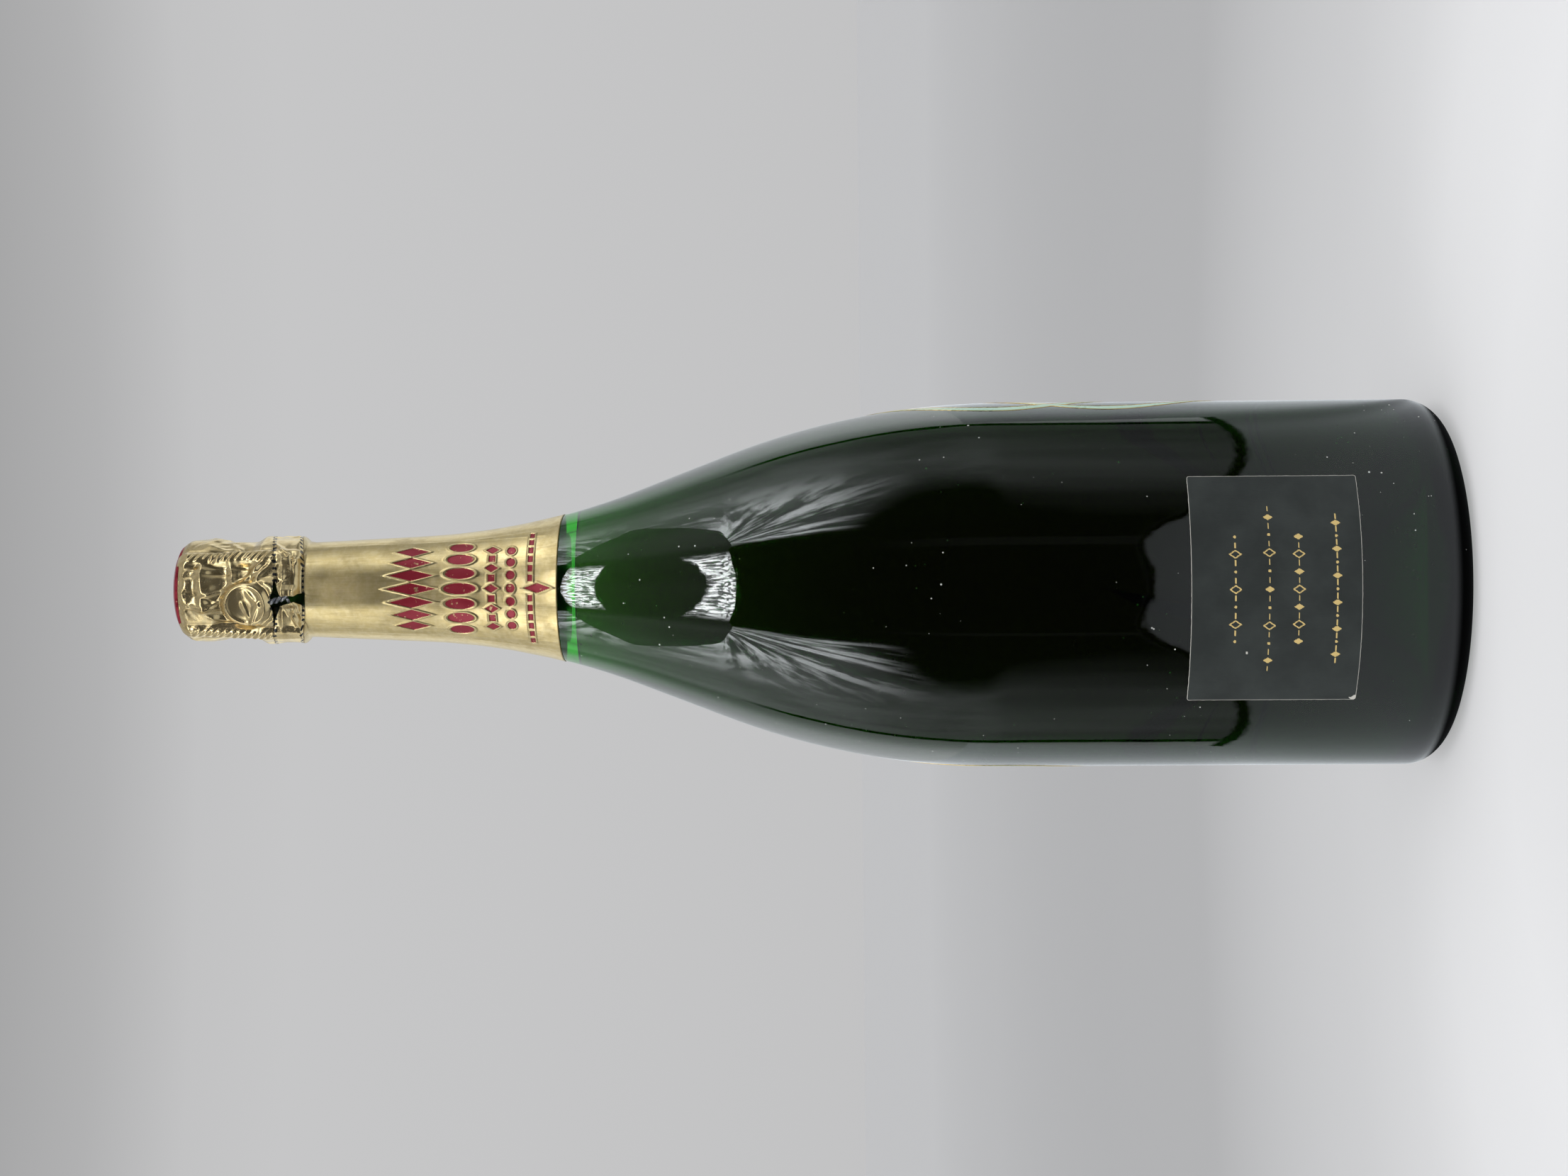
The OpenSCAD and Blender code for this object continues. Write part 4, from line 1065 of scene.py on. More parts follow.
def belt_path(b):
    """The belt as one line: down the tail, round the neck, up the tail twisted round itself, and round the
    loop.
    """
    c, low, high = b.c, b.tail_turns[0], b.tail_turns[1]
    axis = unit(np.array([(high - low) / FULL * 2 * math.pi * b.tail_r, b.tail_high - b.tail_low]))

    def tail(phase, start, end):
        """One strand of the tail: a helix round a line that leans from one turn to the other."""
        w = np.linspace(start, end, 29)
        t = mix(low, high, w)
        a = np.radians(phase + 2 * FULL * w)
        centre = at(b.tail_r + b.belt_q * np.sin(a), t, mix(b.tail_low, b.tail_high, w))
        side = np.stack([axis[1] * np.cos(np.radians(t)), axis[1] * np.sin(np.radians(t)),
            np.full_like(t, -axis[0])], 1)
        return centre + (b.belt_q * np.cos(a))[:, None] * side

    shares = np.array([[0.75, 0.12], [0.5, 0.45], [0.3, 0.82]])
    lead = lambda sign, w: at(mix(b.belt_r, b.tail_r, w[:, 1]), low + sign * 14 * w[:, 0],
        mix(b.belt_z, b.tail_low, w[:, 1]))
    round_neck = at(b.belt_r, low - 14 - (FULL - 28) * np.linspace(0, 1, 90), b.belt_z)
    a = np.radians(np.linspace(-75, 250, 50))
    z = b.loop_z + (c.loop_h - c.belt_wire_d) / 2 * np.sin(a)
    r = b.tail_r - 0.1 * (z - b.tail_high)
    loop = at(r, b.loop_turn + np.degrees((c.loop_w - c.belt_wire_d) / 2 * np.cos(a) / r), z)
    return rounder(np.concatenate(
        [tail(180, 0.86, 0), lead(-1, shares[::-1]), round_neck, lead(1, shares), tail(0, 0, 1), loop]))


class MAGNUM_OT_cage(Operator):
    """Makes the two wires of the cage, with their twists, eyes, tail and loop"""

    bl_idname = "magnum.cage"
    bl_label = "Wire cage"

    def execute(self, context):
        """Each wire is a round section carried along its one line."""
        b, colours = Bottle(context.scene), context.scene.magnum_colours
        steel = wire_material(colours)
        dress(tube("cage_frame_wire", frame_path(b), b.c.frame_wire_d / 2), steel, "cage",
            "cage_wire", "cage_frame")
        dress(tube("cage_belt_wire", belt_path(b), b.c.belt_wire_d / 2, 12), steel, "cage",
            "cage_wire", "belt_wire")
        repaint("cap_plate", plate_material(colours))
        return {"FINISHED"}


class MAGNUM_OT_cork(Operator):
    """Gives the cork's three pieces their grain"""

    bl_idname = "magnum.cork"
    bl_label = "Cork"

    def execute(self, context):
        """The solids keep their shapes and get materials."""
        colours = context.scene.magnum_colours
        natural = natural_cork_material(colours)
        repaint("cork_body", agglomerate_material(colours))
        repaint("cork_disc_upper", natural)
        repaint("cork_disc_lower", natural)
        return {"FINISHED"}


def folds(x, z, marks):
    """Sum of straight folds.

    Each mark has its two ends in millimetres, half width and height: a round ridge across, fading past its
    ends.
    """
    total = np.zeros_like(x)
    for x0, z0, x1, z1, half_w, height in np.array(marks, float) * MM:
        run = np.hypot(x1 - x0, z1 - z0)
        along_, across = (x1 - x0) / run, (z1 - z0) / run
        u = (x - x0) * along_ + (z - z0) * across
        v = np.clip(((z - z0) * along_ - (x - x0) * across) / half_w, -20, 20)
        past = np.maximum(np.maximum(-u, u - run), 0) / (1.6 * half_w)
        total += height / np.cosh(1.7 * v) ** 2 * np.exp(-past ** 2)
    return total


def ripples(x, z, girth, length, seed):
    """Smooth noise without a grid, about -1 to 1: eight sine waves in random directions, each a whole number
    of times round.
    """
    rng = np.random.default_rng(seed)
    waves, total = 8, np.zeros(np.broadcast(x, z).shape)
    for k in range(waves):
        angle = math.pi * (k + rng.uniform(0, 1)) / waves
        wave = length * rng.uniform(0.75, 1.35)
        times = round(girth * math.cos(angle) / wave)
        total += np.sin(2 * np.pi * (times * x / girth + z * math.sin(angle) / wave + rng.uniform(0, 1)))
    return total / 4


def crumple(b, t, z, depth, seed):
    """Creases of hand-pressed foil, in metres: round ridges where warped ripples of three sizes cross zero,
    plus random soft folds.
    """
    girth = 2 * math.pi * b.f.hood_head_r
    x = (t % FULL) / FULL * girth
    aside = 1.6 * MM * ripples(x, z, girth, 16 * MM, seed + 1)
    above = 1.6 * MM * ripples(x, z, girth, 16 * MM, seed + 2)
    total = np.zeros_like(x)
    for length, weight in ((14, 1.6), (7, 0.5), (3.2, 0.05)):
        n = ripples(x + aside, z + above, girth, length * MM, seed + round(10 * length))
        total += weight * (0.75 - 2.0 * np.sqrt(n * n + 0.04))
    rng = np.random.default_rng(seed)
    marks = []
    for _ in range(64):
        cx, cz = rng.uniform(0, girth / MM), rng.uniform(b.tear_low / MM, b.hood_line / MM)
        angle, half = math.radians(rng.normal(90, 38)), rng.uniform(1.5, 4.5)
        dx, dz = half * math.cos(angle), half * math.sin(angle)
        marks.append((cx - dx, cz - dz, cx + dx, cz + dz, rng.uniform(0.8, 1.5),
            rng.uniform(-0.9, 1.1) * 1000))
    random_folds = folds(x, z, marks) + folds(x - girth, z, marks) + folds(x + girth, z, marks)
    return depth * 0.5 * (total + random_folds)


# The hood's main folds, chosen from the photograph, in whole and half millimetres: sideways place and
# height of both ends, half width, height. They stand on the front, where sideways place is the radius times
# the turn's sine.
FRONT_FOLDS = [
    (-1.5, 373, 0, 367, 1, 0.6), (0, 367, 2.5, 362, 1, 0.6), (2.5, 362, 6.5, 358.5, 1, 0.6),
    (6.5, 358.5, 9.5, 355.5, 1, 0.5),
    (4, 357.5, 8, 354, 1.5, 0.5), (5, 366, 2, 365.5, 2, 0.8), (3, 375.5, -2, 375, 2.5, 0.7),
    (5, 372, 5, 368, 1.6, -0.7),
    (-5.5, 380, -6, 375, 0.9, 0.45), (-6, 375, -5.5, 370, 0.9, 0.5), (-5.5, 370, -6.5, 366.5, 0.9, 0.5),
    (-4.5, 377, -5, 372.5, 0.9, 0.4), (-5, 372.5, -2, 368, 1, 0.5), (-1.5, 376, -3.5, 373, 1.8, -0.55),
    (-11, 358.5, -9, 352.5, 1, 0.4), (4.5, 380, 4.5, 379, 1.2, -0.6), (-1, 380, -1, 379, 1.2, -0.6),
    (-6, 380, -6, 379, 1.2, -0.6),
    (13.5, 367, 12.5, 365, 1, 0.5), (-8.5, 372, -9, 366.5, 0.9, 0.4), (-7.5, 372, -8, 367, 0.8, -0.4),
    (8, 377, 9, 373, 1.2, -0.6),
]
LOOP_FOLDS = [(-1.5, 360, -4.5, 357.5, 1, 0.25), (-4.5, 357.5, -9, 359.5, 1, 0.25),
    (-5, 362, -7.5, 361, 0.8, 0.2)]
STRIP_FOLDS = [
    (9, 350, -10, 350, 1.4, 0.5), (10, 347, -8, 347.5, 0.6, -0.6), (9, 345.5, -10, 345.5, 1, 0.45),
    (7.5, 352, 10, 348, 1, 0.5),
    (-6, 349, -11, 345, 0.8, 0.5), (-4, 348, -9, 344, 0.7, -0.5), (13, 351, 9.5, 346, 1, 0.5),
    (2, 352, 4, 348, 0.8, -0.4),
]


def front_place(r, t):
    """Sideways place on the front half, the radius times the turn's sine, and a share that is 1 in front and
    0 from the sides on.
    """
    facing = np.cos(np.radians(t))
    return np.where(facing > 0, r * np.sin(np.radians(t)), 1.0), smooth((facing - 0.15) / 0.25)


def leg_bumps(b, t, z, height):
    """The twisted strands of a leg under the foil: slanting bumps half a pitch apart, near the leg only."""
    off = (t - b.c.leg_turn + 45) % 90 - 45
    x = off / FULL * 2 * math.pi * b.f.hood_head_r
    phase = z / (b.c.leg_pitch / 2) + x / (2.6 * MM)
    near = np.exp(-(x / (1.25 * MM)) ** 2)
    valley = np.exp(-((np.abs(x) - 2.7 * MM) / (0.8 * MM)) ** 2)
    vary = 0.7 + 0.5 * value_noise(t / FULL * 30, z / (3.1 * MM), 30, 77)
    return height * vary * (near * (0.2 + 1.3 * np.cos(np.pi * phase) ** 2) - 0.7 * valley)


def loop_press(b, t, z, height):
    """The loop under the foil: a raised ring along its oval, a groove outside it, and a shallow bowl inside.
    """
    x, y = b.loop_xy(t, z)
    d = np.hypot(x, y)
    ring = np.exp(-((d - 0.94) / 0.11) ** 2)
    groove = np.exp(-((d - 1.24) / 0.14) ** 2)
    inside = smooth((0.92 - d) / 0.7)
    return height * (1.0 * ring - 1.2 * groove - 1.3 * inside)


class MAGNUM_OT_hood(Operator):
    """Makes the crumpled gold hood over cork and cage, with its torn lower edge and its red disc"""

    bl_idname = "magnum.hood"
    bl_label = "Hood and disc"

    def execute(self, context):
        """The hood is a grid of turn and height.

        Its radius is the solid's, plus creases, front folds, leg bumps and the pressed loop.

        Over the shoulder it turns in on a low oval arc between the legs and on the solid's round arc over
        them, and then steps up inside the disc's rim to the solid's top.
        """
        b, colours = Bottle(context.scene), context.scene.magnum_colours
        f = b.f
        cols, wall_rows, dome_rows = 460, 124, 40
        t = np.arange(cols) * FULL / cols
        w = np.linspace(0, 1, wall_rows)[:, None]
        notch = TEAR_LIFT * smooth(1 - b.gap_to(t, TEAR_TURN) / TEAR_HALF)
        ragged = 0.12 * MM * value_noise(t / FULL * 120, t * 0, 120, 5)
        low = b.tear_high + b.bow(t) + b.foil_gap + notch + ragged
        z = mix(low[None, :], b.hood_line, w)
        tt = np.broadcast_to(t, z.shape)
        r = b.wall_r(tt, z)
        sideways, front = front_place(r, tt)
        x, y = b.loop_xy(tt, z)
        loop_near = smooth((1.4 - np.hypot(x, y)) / 0.35)
        placed = folds(sideways, z, FRONT_FOLDS) * (1 - loop_near) + folds(sideways, z, LOOP_FOLDS)
        legs_near = smooth((10 - b.to_leg(tt)) / 6)
        press = crumple(b, tt, z, f.crumple, f.seed) * (1 - loop_near) * (1
            - 0.4 * legs_near) * (1 - 0.5 * front)
        press = press + leg_bumps(b, tt, z, 0.5 * MM) * (1 - loop_near) + loop_press(b, tt, z,
            0.42 * MM) + placed * front
        share_ = np.linspace(0, 1, dome_rows + 1)[1:, None]
        turned_in = np.radians(90) * np.minimum(share_ / 0.7, 1)
        step_in = smooth((share_ - 0.7) / 0.3)
        reach = b.wall_r(t, b.hood_line)[None, :] - b.hood_core_r
        edge = f.shoulder_r - b.hood_core_r
        low_r = edge + (reach - edge) * np.cos(turned_in) - (edge - 0.04 * MM) * step_in
        low_z = f.shoulder_h * np.sin(turned_in) + (b.hood_top - b.hood_line - f.shoulder_h
            - 0.04 * MM) * smooth(2 * step_in)
        round_a = np.radians(90) * share_
        leg_w = smooth((9 - b.to_leg(t)) / 4.5)[None, :]
        dome_r = mix(low_r, reach * np.cos(round_a), leg_w)
        dome_z = mix(low_z, (b.hood_top - b.hood_line - 0.04 * MM) * np.sin(round_a), leg_w)
        top_t = np.broadcast_to(t, dome_r.shape)
        fade = smooth((0.68 - share_) / 0.2)
        top_press = crumple(b, top_t, b.hood_line + 4 * MM * share_, f.crumple,
            f.seed) * fade * (1 - 0.7 * leg_w) * 0.6
        join = press[-1][None, :] * smooth(1 - share_ / 0.4)
        top_press = mix(join, top_press, smooth(share_ / 0.3))
        roll = 0.22 * MM * np.exp(-((share_ - 0.6) / 0.07) ** 2) * (1 - leg_w)
        dome_z = dome_z + roll
        dome = at(b.hood_core_r + dome_r + roll + top_press, top_t,
            b.hood_line + dome_z + 0.4 * top_press * np.sin(turned_in))
        outer = np.concatenate([at(r + press, tt, z), dome])
        inner_r, inner_z = np.hypot(outer[..., 0], outer[..., 1]), outer[..., 2]
        rows = np.unique(np.concatenate(
            [np.arange(0, wall_rows, 3), np.arange(wall_rows, len(outer), 4), [len(outer) - 1]]))
        thick = np.where(rows > 0, 0.3 * MM, f.foil_t)[:, None]
        over = smooth((inner_z[rows] - b.hood_line) / (2 * MM))
        inner = at(np.maximum(inner_r[rows] - thick, 0), tt[:1], inner_z[rows] - thick * over)
        u = np.arange(cols + 1) / cols * 2 * math.pi * f.hood_head_r
        v = np.concatenate([z - notch - b.bow(t), b.hood_line + 4 * MM * share_ + 0 * top_press])
        v = np.concatenate([v, v[:, :1]], 1)
        uv = np.stack([np.broadcast_to(u, v.shape), v], -1)
        # Depth of each crease, which the material darkens as painted shade
        hollow = np.clip(-np.concatenate([press, top_press]) / (0.9 * MM), 0, 1)
        hood = shell("hood_foil_crumpled", outer, inner, True, uv, {"hollow": hollow})
        foil = crumpled_material("gold_foil", colours, f, [b.tear_high + b.foil_gap * 0.5])
        dress(hood, foil, "hood", "gold_foil", "hood_foil")
        self.disc(b, f, colours)
        return {"FINISHED"}

    def disc(self, b, f, colours):
        """A turned profile: a domed top with two pressed rings, and a rolled rim that reaches down round the
        hood's edge. Its foot waves by noise and rises over the legs.
        """
        r, low_z, top_z = f.disc_d / 2, b.hood_line + f.shoulder_h + 0.15 * MM, b.hood_top + f.rim_h
        rim_top = low_z + 1.3 * MM
        rim = arc([r - RIM_ROUND, rim_top - RIM_ROUND], RIM_ROUND, 75, 0, 8)
        crown = lambda at_r: rim_top + (top_z - rim_top) * (1 - (at_r / r) ** 4)
        press_ring = lambda at_r: [[at_r + d * MM, crown(at_r) - (RING_DEPTH if abs(d) < 0.3 else 0)]
            for d in (-0.5, -0.25, 0.25, 0.5)]
        under = b.hood_top + 0.02 * MM
        profile = np.concatenate([
            [[0, top_z]], [[q * MM, crown(q * MM)] for q in (4, 7)], press_ring(PRESSED_RINGS[0]),
            press_ring(PRESSED_RINGS[1]), rim, [[r, low_z + 0.05 * MM], [r - 0.15 * MM, low_z]],
            [[r - 0.25 * MM, low_z + 0.1 * MM], [r - 0.3 * MM, rim_top - 0.5 * MM],
                [r - 0.9 * MM, under], [0, under]],
        ])
        disc = revolve("hood_disc_red", spaced(profile, 0.5 * MM), DISC_COLUMNS)
        places = np.empty(len(disc.data.vertices) * 3, np.float32)
        disc.data.vertices.foreach_get("co", places)
        places = places.reshape(-1, 3).astype(float)
        turns = np.degrees(np.arctan2(places[:, 0], -places[:, 1]))
        low_part = np.clip((rim_top - 0.25 * MM - places[:, 2]) / (rim_top - 0.25 * MM - low_z), 0, 1)
        wave = 0.12 * MM * value_noise(turns % FULL / FULL * 22, turns * 0, 22, 15)
        places[:, 2] += low_part * (0.75 * MM * smooth((10 - b.to_leg(turns)) / 6) + wave)
        disc.data.vertices.foreach_set("co", places.astype(np.float32).ravel())
        disc.data.update()
        dress(disc, red_material(colours), "hood", "red_foil", "hood_disc")
        return {"FINISHED"}


class MAGNUM_OT_strip(Operator):
    """Makes the wrinkled tear strip, torn open in front of the wire's tail"""

    bl_idname = "magnum.strip"
    bl_label = "Tear strip"

    def execute(self, context):
        """A grid of turn and height between the two perforations, bowed with them.

        It steps out from the neck over the belt.

        Its two ends are the tear's edges, wide at both perforations and close together between.
        """
        b, colours = Bottle(context.scene), context.scene.magnum_colours
        f = b.f
        rows, cols = 64, 600
        w = np.linspace(0, 1, rows)[:, None]
        heights = [0.0, 0.3, 0.77, 1.0]
        right = np.interp(w, heights, [-3.0, -6.0, -6.0, 10.0]) + 0.5 * value_noise(w * 14, w * 0, 64, 3)
        left = np.interp(w, heights, [-22.0, -12.0, -16.0, -34.0]) + 0.5 * value_noise(w * 14
            + 7, w * 0, 64, 4)
        t = right + (FULL + left - right) * np.linspace(0, 1, cols)[None, :]
        z = mix(b.tear_low, b.tear_high, w) + b.bow(t)
        r = b.band_r(t, z)
        tt = t % FULL
        sideways, front = front_place(r, tt)
        creases = crumple(b, t, z, f.crumple, f.seed + 40) * (1 - 0.5 * front) + folds(sideways, z - b.bow(t),
            STRIP_FOLDS) * front
        pleats = 0.1 * MM * np.sin(tt / FULL * 2 * np.pi * 28
            + 2.4 * value_noise(tt / FULL * 20, z / (3 * MM), 20, 9))
        ends = smooth(w / 0.12) * smooth((1 - w) / 0.06)
        press = (creases + pleats * (1 - front)) * ends * smooth((z - b.tear_low) / (2 * MM))
        outer = at(r + np.maximum(press, -0.3 * MM), t, z)
        inner = at(r + np.maximum(press, -0.3 * MM) - f.foil_t, t, z)
        uv = np.stack([t / FULL * 2 * math.pi * f.hood_head_r, z - b.bow(t)], -1)
        # The strip's crease depths get the same painted shade as the hood's
        strip = shell("tear_strip_crumpled", outer, inner, False, uv,
            {"hollow": np.clip(-press / (0.8 * MM), 0, 1)})
        foil = crumpled_material("strip_foil", colours, f, [b.tear_low + 0.45 * MM, b.tear_high - 0.4 * MM])
        dress(strip, foil, "bottle", "gold_foil", "tear_strip")
        return {"FINISHED"}


def lozenge(x, z, cx, cz, half_w, half_h):
    """Distance to a lozenge's edge, about right near it: the sum of the shares of the two half sizes, less
    one, times the height over a slanted side.
    """
    side = half_w * half_h / math.hypot(half_w, half_h)
    return (np.abs(x - cx) / half_w + np.abs(z - cz) / half_h - 1) * side


def oval(x, z, cx, cz, half_w, half_h):
    """Distance to an oval's edge, about right near it."""
    return (np.hypot((x - cx) / half_w, (z - cz) / half_h) - 1) * min(half_w, half_h)


def bar(x, z, cx, cz, half_w, half_h):
    """Distance to a bar's edge."""
    return np.maximum(np.abs(x - cx) - half_w, np.abs(z - cz) - half_h)


def ornament(x, z):
    """Distance to the edge of the neck foil's ornament, in metres: a chain of tall lozenges, a chain of
    ovals, and three rows of bars and beads, all about the middle.
    """
    m = MM
    shapes = []
    for k in range(-3, 4):
        shapes.append(lozenge(x, z, 4.1 * m * k, 311 * m, 1.75 * m, (7.8 - 0.9 * abs(k)) * m))
    for k in range(-3, 4):
        shapes.append(oval(x, z, 4.6 * m * k, 296 * m, 1.7 * m, (5 - 0.45 * abs(k)) * m))
    for k in range(-4, 5):
        shapes.append(bar(x, z, 3.1 * m * k, 286.2 * m, 1.05 * m, 1.0 * m) if k % 2
            else lozenge(x, z, 3.1 * m * k, 286.2 * m, 1.3 * m, 2.1 * m))
    for k in range(-3, 4):
        shapes.append(oval(x, z, 4.0 * m * k, 280.3 * m, 1.35 * m, 1.35 * m))
    for k in range(-6, 7):
        shapes.append(bar(x, z, 3.0 * m * k, 274.2 * m, 1.0 * m, 0.75 * m) if k
            else lozenge(x, z, 0, 272.0 * m, 1.5 * m, 4.2 * m))
    return np.minimum.reduce(shapes)


class MAGNUM_OT_neck_foil(Operator):
    """Makes the smooth gold sleeve with its embossed red ornament and side seam"""

    bl_idname = "magnum.neck_foil"
    bl_label = "Neck foil"

    def execute(self, context):
        """A grid of turn and height on the glass's outline, finer in front.

        The ornament's edge distance raises a rim and sinks the ink; a step at the side is the seam.
        """
        b, colours = Bottle(context.scene), context.scene.magnum_colours
        f = b.f
        front = np.linspace(-FINE_HALF, FINE_HALF, 250)
        back = np.linspace(FINE_HALF, FULL - FINE_HALF, 64)[1:-1]
        t = np.concatenate([front, back])
        top = b.tear_low - b.foil_gap + b.bow(t)[None, :]
        z = np.concatenate([
            np.linspace(b.foil_low, b.foil_low + HEM, 5)[:-1],
            np.linspace(b.foil_low + HEM, ORNAMENT_TOP, 236)[:-1],
            np.linspace(ORNAMENT_TOP, b.tear_low - UNDER_TEAR, 16)[:-1],
        ])[:, None]
        zz = np.concatenate([z + 0 * top,
            mix(b.tear_low - UNDER_TEAR, top, np.linspace(0, 1, TOP_ROWS)[:, None])])
        z = zz[:, :1]
        tt = np.broadcast_to(t, zz.shape)
        base = np.where(zz > b.tear_low, b.band_r(tt, zz), b.skin(zz, -b.foil_gap) + f.foil_t)
        x = np.radians(tt) * base
        d = ornament(x, zz)
        ink = smooth(0.5 - d / (0.16 * MM))
        rim = np.exp(-((d - 0.26 * MM) / (0.2 * MM)) ** 2)
        seam_off = b.gap_to(tt, f.seam_turn)
        seam = f.foil_t * smooth((seam_off < 12) * (1 - seam_off / 12) * 8)
        dents = 0.03 * MM * ripples(tt / FULL * 110 * MM, zz, 110 * MM, 11 * MM, 21)
        folds_ = folds(x, zz, [
            (18, 271, 15.5, 339, 0.6, 0.05), (21, 268, 17, 296, 0.5, 0.06), (-18.5, 264, -15, 336, 0.6, 0.05),
            (-22, 268, -19, 292, 0.5, 0.06),
        ])
        r = base + f.emboss * rim - 0.05 * MM * ink + seam + dents + folds_
        outer = at(r, tt, zz)
        inner_rows = np.concatenate(
            [np.linspace(0, len(z) - TOP_ROWS - 1, 9).astype(int), np.arange(len(z) - TOP_ROWS, len(z))])
        inner = at(base[inner_rows] - 0.9 * f.foil_t, tt[inner_rows], zz[inner_rows])
        inner[-1] = at(base[-1] - f.foil_t, t, zz[-1])
        u = np.concatenate([t, [FULL - FINE_HALF]]) / FULL * 2 * math.pi * 18 * MM
        across = np.concatenate([zz, zz[:, :1]], 1)
        uv = np.stack([np.broadcast_to(u, across.shape), across], -1)
        # Where the material paints shade: along the lower hem, and by half just under the tear strip
        edge = np.maximum(smooth((b.foil_low + 0.5 * MM - zz) / (0.4 * MM)),
            0.5 * smooth((zz - top + 0.6 * MM) / (0.5 * MM)))
        sleeve = shell("neck_foil_sleeve", outer, inner, True, uv, {"ink": ink, "edge": edge})
        dress(sleeve, neck_material(colours), "bottle", "neck_gold", "neck_foil")
        return {"FINISHED"}


class MAGNUM_OT_label(Operator):
    """Makes the dark paper label with generic gold print and worn corners"""

    bl_idname = "magnum.label"
    bl_label = "Back label"

    def execute(self, context):
        """A grid of width and height bent round the barrel.

        Its edge follows a rounded rectangle, lifts a little at the corners and is nicked at one.
        """
        b, colours = Bottle(context.scene), context.scene.magnum_colours
        f = b.f
        cols, rows = 270, 180
        p = np.linspace(-1, 1, cols)[None, :] * np.ones((rows, 1))
        q = np.linspace(-1, 1, rows)[:, None] * np.ones((1, cols))
        half_w, half_h, corner = f.label_w / 2, f.label_h / 2, 0.8 * MM
        x, y = p * half_w, q * half_h
        over_x, over_y = np.abs(x) - (half_w - corner), np.abs(y) - (half_h - corner)
        both = (over_x > 0) & (over_y > 0)
        far = np.maximum(np.hypot(np.maximum(over_x, 0), np.maximum(over_y, 0)), 1e-9)
        biggest = np.maximum(np.maximum(over_x, over_y), 0)
        pull = np.where(both, biggest / far, 1.0)
        x = np.where(both, np.sign(x) * (half_w - corner + over_x * pull), x)
        y = np.where(both, np.sign(y) * (half_h - corner + over_y * pull), y)
        ragged = 0.05 * MM * value_noise(p * 60 + 200, q * 40 + 99, 997, 4)
        x, y = x + ragged * (np.abs(p) > 0.999), y + ragged * (np.abs(q) > 0.999)
        z = f.label_low + half_h + y
        lift = 0.10 * MM * smooth((np.abs(p) - 0.93) / 0.07) * smooth((np.abs(q) - 0.9) / 0.1)
        wave = 0.012 * MM * value_noise(p * 9 + 50, q * 12 + 30, 97, 8)
        face = b.body_r + 0.02 * MM + f.label_t + lift + np.abs(wave)
        t = f.label_turn + np.degrees(x / b.body_r)
        outer = at(face, t, z)
        inner = at(face - f.label_t, t, z)
        m, shapes = MM, []

        def row(cz, half, step, kinds):
            """Puts a row of marks at height cz, as wide as half each way: l lozenge, r ring, o bead, - bar.
            """
            for k in range(-int(half / step), int(half / step) + 1):
                kind = kinds[abs(k) % len(kinds)]
                cx = k * step * m
                if kind == "l":
                    shapes.append(lozenge(x, y, cx, cz * m, 0.9 * m, 1.45 * m))
                elif kind == "r":
                    shapes.append(np.abs(lozenge(x, y, cx, cz * m, 1.1 * m, 1.6 * m)) - 0.17 * m)
                elif kind == "o":
                    shapes.append(oval(x, y, cx, cz * m, 0.42 * m, 0.42 * m))
                else:
                    shapes.append(bar(x, y, cx, cz * m, 0.85 * m, 0.17 * m))

        row(11.6, 15, 2.5, "r-o-")
        row(2.0, 25, 2.6, "l-o-r-o-")
        row(-6.3, 15, 2.5, "r-l-")
        row(-17.0, 21, 1.9, "o-l-")
        d = np.minimum.reduce(shapes)
        ink = smooth(0.5 - d / (0.14 * MM))
        rim = np.maximum(np.abs(p), np.abs(q))
        bare = 1.0 * (rim > 0.9985)
        nick = np.hypot(x + half_w - 0.6 * m, y + half_h - 0.9 * m) + 0.5 * m * value_noise(p * 90 + 300,
            q * 60 + 200, 997, 6)
        bare = np.maximum(bare, 1.0 * (nick < 0.9 * m))
        chip = np.hypot((x + 18.5 * m), (y - 8.2 * m) * 1.8) + 0.35 * m * value_noise(p * 160 + 300,
            q * 110 + 200, 997, 7)
        bare = np.maximum(bare, 1.0 * (chip < 0.5 * m))
        uv = np.stack([x, y], -1)
        label = shell("back_label_paper", outer, inner, False, uv, {"ink": ink, "bare": bare})
        dress(label, paper_material(colours), "bottle", "label_paper", "back_label")
        return {"FINISHED"}


def blade(b, start_t, start_z, end_t, end_z, bow, width, thick):
    """One flat blade on the glass: its middle line goes from start to end with a sideways bow, and its width
    swells and fades as a sine. It gives points and faces.
    """
    n, across = 90, 7
    s = np.linspace(0, 1, n)[:, None]
    z = mix(start_z, end_z, s)
    t = mix(start_t, end_t, s) + bow * np.sin(np.pi * s)
    half = width / 2 * np.sin(np.pi * np.clip(s, 0.004, 0.996)) ** 0.7
    k = np.linspace(-1, 1, across)[None, :]
    face = b.skin(z)
    dz, dt = np.gradient(z[:, 0])[:, None], np.gradient(np.radians(t[:, 0]))[:, None] * face
    length = np.hypot(dz, dt)
    side_t, side_z = dz / length, -dt / length
    tt = t + np.degrees(half * k * side_t / face)
    zz = z + half * k * side_z
    top = at(b.skin(zz) + thick * (1 - k ** 2) ** 0.5 + 0.01 * MM, tt, zz)
    low = at(b.skin(zz) - 0.03 * MM, tt, zz)
    return top, low


